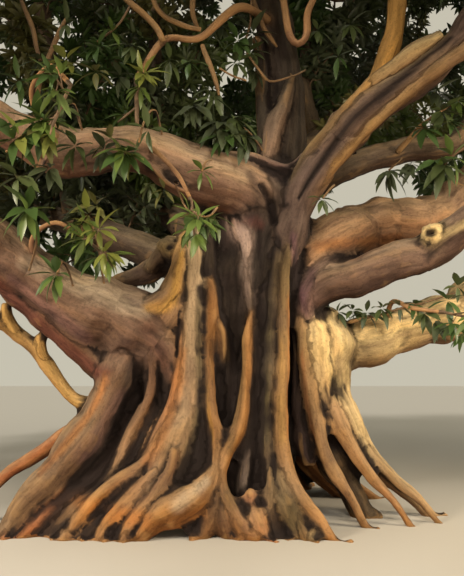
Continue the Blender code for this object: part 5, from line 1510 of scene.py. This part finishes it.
def dress_tuft(rng, place, run, leaves, kind, count, size, droop):
    """A rosette of near leaves at a twig's end."""
    place = np.array(place, float)
    headings = rosette(rng, unit(np.array(run, float))[None], count, NEAR_LEAN_DEG)[0]
    headings = unit(headings + np.array((0.0, 0.0, -droop)))
    facing = np.array(NEAR_FACING) + rng.uniform(-NEAR_FACING_SPREAD, NEAR_FACING_SPREAD, (count, 3))
    lay_leaves(leaves, NEAR_SHAPE, NEAR_FACES, place + headings * NEAR_OUT, headings, facing,
               size * rng.uniform(*NEAR_LENGTHS, count), rng.uniform(*NEAR_WIDTHS, count), kind)


def wavy(rng, a, b, count, sway):
    """Points from a to b that sway off the straight line."""
    share = np.linspace(0, 1, count)[:, None]
    swing = rng.uniform(-sway, sway, (count, 3)) * np.sin(share * math.pi)
    return [Vector(p) for p in np.array(a) * (1 - share) + np.array(b) * share + swing]


def build_foliage(bark, colours):
    """Every mass of the source again as wood and leaves, gathered by the part of the crown."""
    masses = all_masses()
    lines = limb_lines()
    heart = Vector((CROWN_X, CROWN_Y, CROWN_HEART_Z))
    names = list(LEAF_COLOURS)
    shares = list(LEAF_SHARES.values())
    wood, near_leaves = Pile(), Pile()
    groups = [Pile() for _ in range(LEAF_PIECES)]
    group_nodes = [[] for _ in range(LEAF_PIECES)]
    near_nodes = []
    for index, mass in enumerate(masses):
        grown = grow_mass(index, mass, masses, lines)
        rng = np.random.default_rng(SPRAY_SEED + index)
        near = mass.leaf == SPRAY_LEAF
        for start, end, thick, thin in (*grown.segments, *grown.twigs):
            sway = 0.0 if near or (start, end) == grown.segments[0][:2] else WOOD_SWAY
            line = wavy(rng, start, end, WOOD_POINTS, sway)
            wood.add(*tube(line, np.linspace(thick, thin, WOOD_POINTS), FINE_SIDES if near else WOOD_SIDES))
        if near:
            near_nodes.append(mass_name(mass))
            for root, tip, _ in grown.leaves:
                kind = names.index(str(rng.choice(NEAR_COLOURS)))
                wood.add(*tube([root, root.lerp(tip, NEAR_STALK)], NEAR_STALK_RADII, FINE_SIDES))
                dress_tuft(rng, root.lerp(tip, NEAR_PLACE), tip - root, near_leaves, kind, NEAR_COUNT,
                           NEAR_LENGTH, NEAR_DROOP)
            continue
        number = index % LEAF_PIECES
        group_nodes[number].append(mass_name(mass))
        outward = np.array((mass.centre - heart).normalized())
        leaves = list(grown.leaves)
        if mass.limb in LIMB_SPRAYS:
            leaves += limb_sprays(mass.limb)
        for leaf in leaves:
            kind = names.index(str(rng.choice(names, p=shares)))
            dress_spray(rng, leaf, outward, wood, groups[number], kind)
    rng = np.random.default_rng(TUFT_SEED)
    for x, y, z, size, colour, count, droop in TUFTS:
        place = (x / CM, y / CM, z / CM)
        dress_tuft(rng, place, TUFT_RUN, near_leaves, names.index(colour), count, size / CM, droop)
    pieces = [(wood.build("crown_twigs", [bark]), [mass_name(mass) for mass in masses])]
    for number, (pile, nodes) in enumerate(zip(groups, group_nodes), 1):
        pieces.append((pile.build(f"crown_leaves_{number}", colours), nodes))
    pieces.append((near_leaves.build("near_leaves", colours), near_nodes))
    return pieces


def node(tree, kind, inputs):
    made = tree.nodes.new(kind)
    for key, value in inputs.items():
        made.inputs[key].default_value = value
    return made


def texture(tree, inputs, place):
    """A noise texture laid out by that place."""
    made = node(tree, "ShaderNodeTexNoise", inputs)
    tree.links.new(place, made.inputs["Vector"])
    return made.outputs["Fac"]


def ramp(tree, source, stops):
    """A colour ramp fed by the source; stops are (place, brightness or colour)."""
    made = tree.nodes.new("ShaderNodeValToRGB")
    elements = made.color_ramp.elements
    while len(elements) < len(stops):
        elements.new(0.5)
    for element, (place, colour) in zip(elements, stops):
        element.position = place
        element.color = (*(colour if isinstance(colour, tuple) else (colour,) * 3), 1.0)
    tree.links.new(source, made.inputs["Fac"])
    return made.outputs["Color"]


def feed(tree, socket, value):
    if isinstance(value, bpy.types.NodeSocket):
        tree.links.new(value, socket)
    else:
        socket.default_value = (*value, 1.0) if isinstance(value, tuple) else value


def mix(tree, blend, factor, a, b):
    """Two colours mixed. Inputs 0, 6 and 7 are the factor and the two colours, and output 2 is their mix."""
    made = tree.nodes.new("ShaderNodeMix")
    made.data_type = "RGBA"
    made.blend_type = blend
    for place, value in ((0, factor), (6, a), (7, b)):
        feed(tree, made.inputs[place], value)
    return made.outputs[2]


def calculate(tree, operation, a, b):
    made = tree.nodes.new("ShaderNodeMath")
    made.operation = operation
    for socket, value in zip(made.inputs, (a, b)):
        feed(tree, socket, value)
    return made.outputs[0]


def attribute(tree, name, output):
    made = tree.nodes.new("ShaderNodeAttribute")
    made.attribute_name = name
    return made.outputs[output]


def new_material(name, roughness):
    material = bpy.data.materials.new(name)
    material.use_nodes = True
    shader = material.node_tree.nodes["Principled BSDF"]
    shader.inputs["Roughness"].default_value = roughness
    return material, material.node_tree, shader


def finish_bark(tree, shader, colour, height, bump):
    """Feeds the shader its colour, and its normal from the height."""
    tree.links.new(colour, shader.inputs["Base Color"])
    made = node(tree, "ShaderNodeBump", bump)
    tree.links.new(height, made.inputs["Height"])
    tree.links.new(made.outputs["Normal"], shader.inputs["Normal"])


def bark_material():
    """Streaked bark: tints by limb, with painted shade near black in the creases and a warm painted
    highlight on the ridges.
    """
    material, tree, shader = new_material("banyan_bark", BARK_ROUGHNESS)
    shader.inputs["Specular IOR Level"].default_value = BARK_SPECULAR
    grain = attribute(tree, "grain", "Vector")
    painted_shade_highlight = attribute(tree, "painted_shade_highlight", "Fac")
    place = tree.nodes.new("ShaderNodeTexCoord").outputs["Object"]
    fine = texture(tree, BARK_FINE, grain)
    broad = texture(tree, BARK_BROAD, grain)
    specks = texture(tree, BARK_SPECKS, place)
    patches = texture(tree, BARK_PATCHES, place)
    colour = mix(tree, "MULTIPLY", 1.0, attribute(tree, "tint", "Color"), ramp(tree, fine, FINE_RAMP))
    colour = mix(tree, "MULTIPLY", BROAD_SHARE, colour, ramp(tree, broad, BROAD_RAMP))
    colour = mix(tree, "MULTIPLY", SPECK_SHARE, colour, ramp(tree, specks, SPECK_RAMP))
    colour = mix(tree, "MIX", ramp(tree, patches, PATCH_RAMP), colour, SHADE_BARK)
    # Painted highlight on the ridges, then painted shade in the creases, both from the mesh's depth.
    ridge = ramp(tree, calculate(tree, "MULTIPLY", painted_shade_highlight, -1.0), RIDGE_HIGHLIGHT_RAMP)
    colour = mix(tree, "MIX", ridge, colour, PAINTED_HIGHLIGHT_BARK)
    colour = mix(tree, "MIX", ramp(tree, painted_shade_highlight, CREASE_SHADE_RAMP), colour, PAINTED_SHADE_BARK)
    tree.links.new(ramp(tree, fine, ROUGH_RAMP), shader.inputs["Roughness"])
    height = calculate(tree, "ADD", calculate(tree, "MULTIPLY", fine, FINE_HEIGHT), broad)
    height = calculate(tree, "ADD", height, calculate(tree, "MULTIPLY", specks, SPECK_HEIGHT))
    finish_bark(tree, shader, colour, height, BARK_BUMP)
    return material


def twig_material():
    material, tree, shader = new_material("twig_bark", BARK_ROUGHNESS)
    speckle = texture(tree, TWIG_SPECKLE, tree.nodes.new("ShaderNodeTexCoord").outputs["Object"])
    finish_bark(tree, shader, ramp(tree, speckle, TWIG_RAMP), speckle, TWIG_BUMP)
    return material


def plain_material(name, colour, roughness):
    material, _, shader = new_material(name, roughness)
    shader.inputs["Base Color"].default_value = (*colour, 1.0)
    return material


def set_stage():
    corners = np.array(((-1, -1, 0), (1, -1, 0), (1, 1, 0), (-1, 1, 0)), float) * FLOOR_REACH
    material = plain_material("studio_floor", FLOOR_COLOUR, FLOOR_ROUGHNESS)
    floor = mesh_object("studio_floor", corners, np.array(((0, 1, 2), (0, 2, 3))), [material], (0, 0))
    world = bpy.data.worlds.new("studio_world")
    world.use_nodes = True
    background = world.node_tree.nodes["Background"]
    background.inputs["Color"].default_value = (*WORLD_COLOUR, 1.0)
    background.inputs["Strength"].default_value = WORLD_STRENGTH
    bpy.context.scene.world = world


def set_lights():
    for name, (place, target, size, power, colour) in LAMPS.items():
        data = bpy.data.lights.new(name, "SPOT")
        data.shadow_soft_size = size
        data.spot_size = math.radians(CONE_DEG)
        data.spot_blend = 1.0
        data.energy = power
        data.color = colour
        light = add_object(name, data)
        light.location = place
        light.visible_camera = False
        light.rotation_euler = (Vector(target) - Vector(place)).to_track_quat("-Z", "Y").to_euler()
    data = bpy.data.lights.new("sun", "SUN")
    data.energy = SUN_STRENGTH
    data.angle = math.radians(SUN_SIZE_DEG)
    data.color = SUN_COLOUR
    sun = add_object("sun", data)
    sun.rotation_euler = (math.radians(SUN_PITCH_DEG), 0.0, math.radians(SUN_TURN_DEG))


def set_camera():
    data = bpy.data.cameras.new("camera")
    data.lens = CAMERA_LENS
    data.sensor_width = SENSOR
    camera = add_object("camera", data)
    camera.location = CAMERA_PLACE
    camera.rotation_euler = (math.radians(CAMERA_PITCH_DEG), 0.0, 0.0)
    bpy.context.scene.camera = camera
    bpy.context.scene.view_settings.view_transform = "Standard"


def place_piece(piece, nodes):
    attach(piece, "root")
    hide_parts(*nodes)


def main():
    noise.seed_set(SWAY_SEED)
    set_camera()
    set_lights()
    set_stage()
    lines = [*trunk_lines(), *limb_bark_lines()]
    bark = bark_material()
    place_piece(build_trunk(lines, bark), ["trunk", *FUSED_REACH])
    place_piece(build_limbs(lines, bark), LIMBS)
    leaf_materials = [plain_material("leaf_" + name, colour, LEAF_ROUGHNESS)
                      for name, colour in LEAF_COLOURS.items()]
    for piece, nodes in build_foliage(twig_material(), leaf_materials):
        place_piece(piece, nodes)


main()
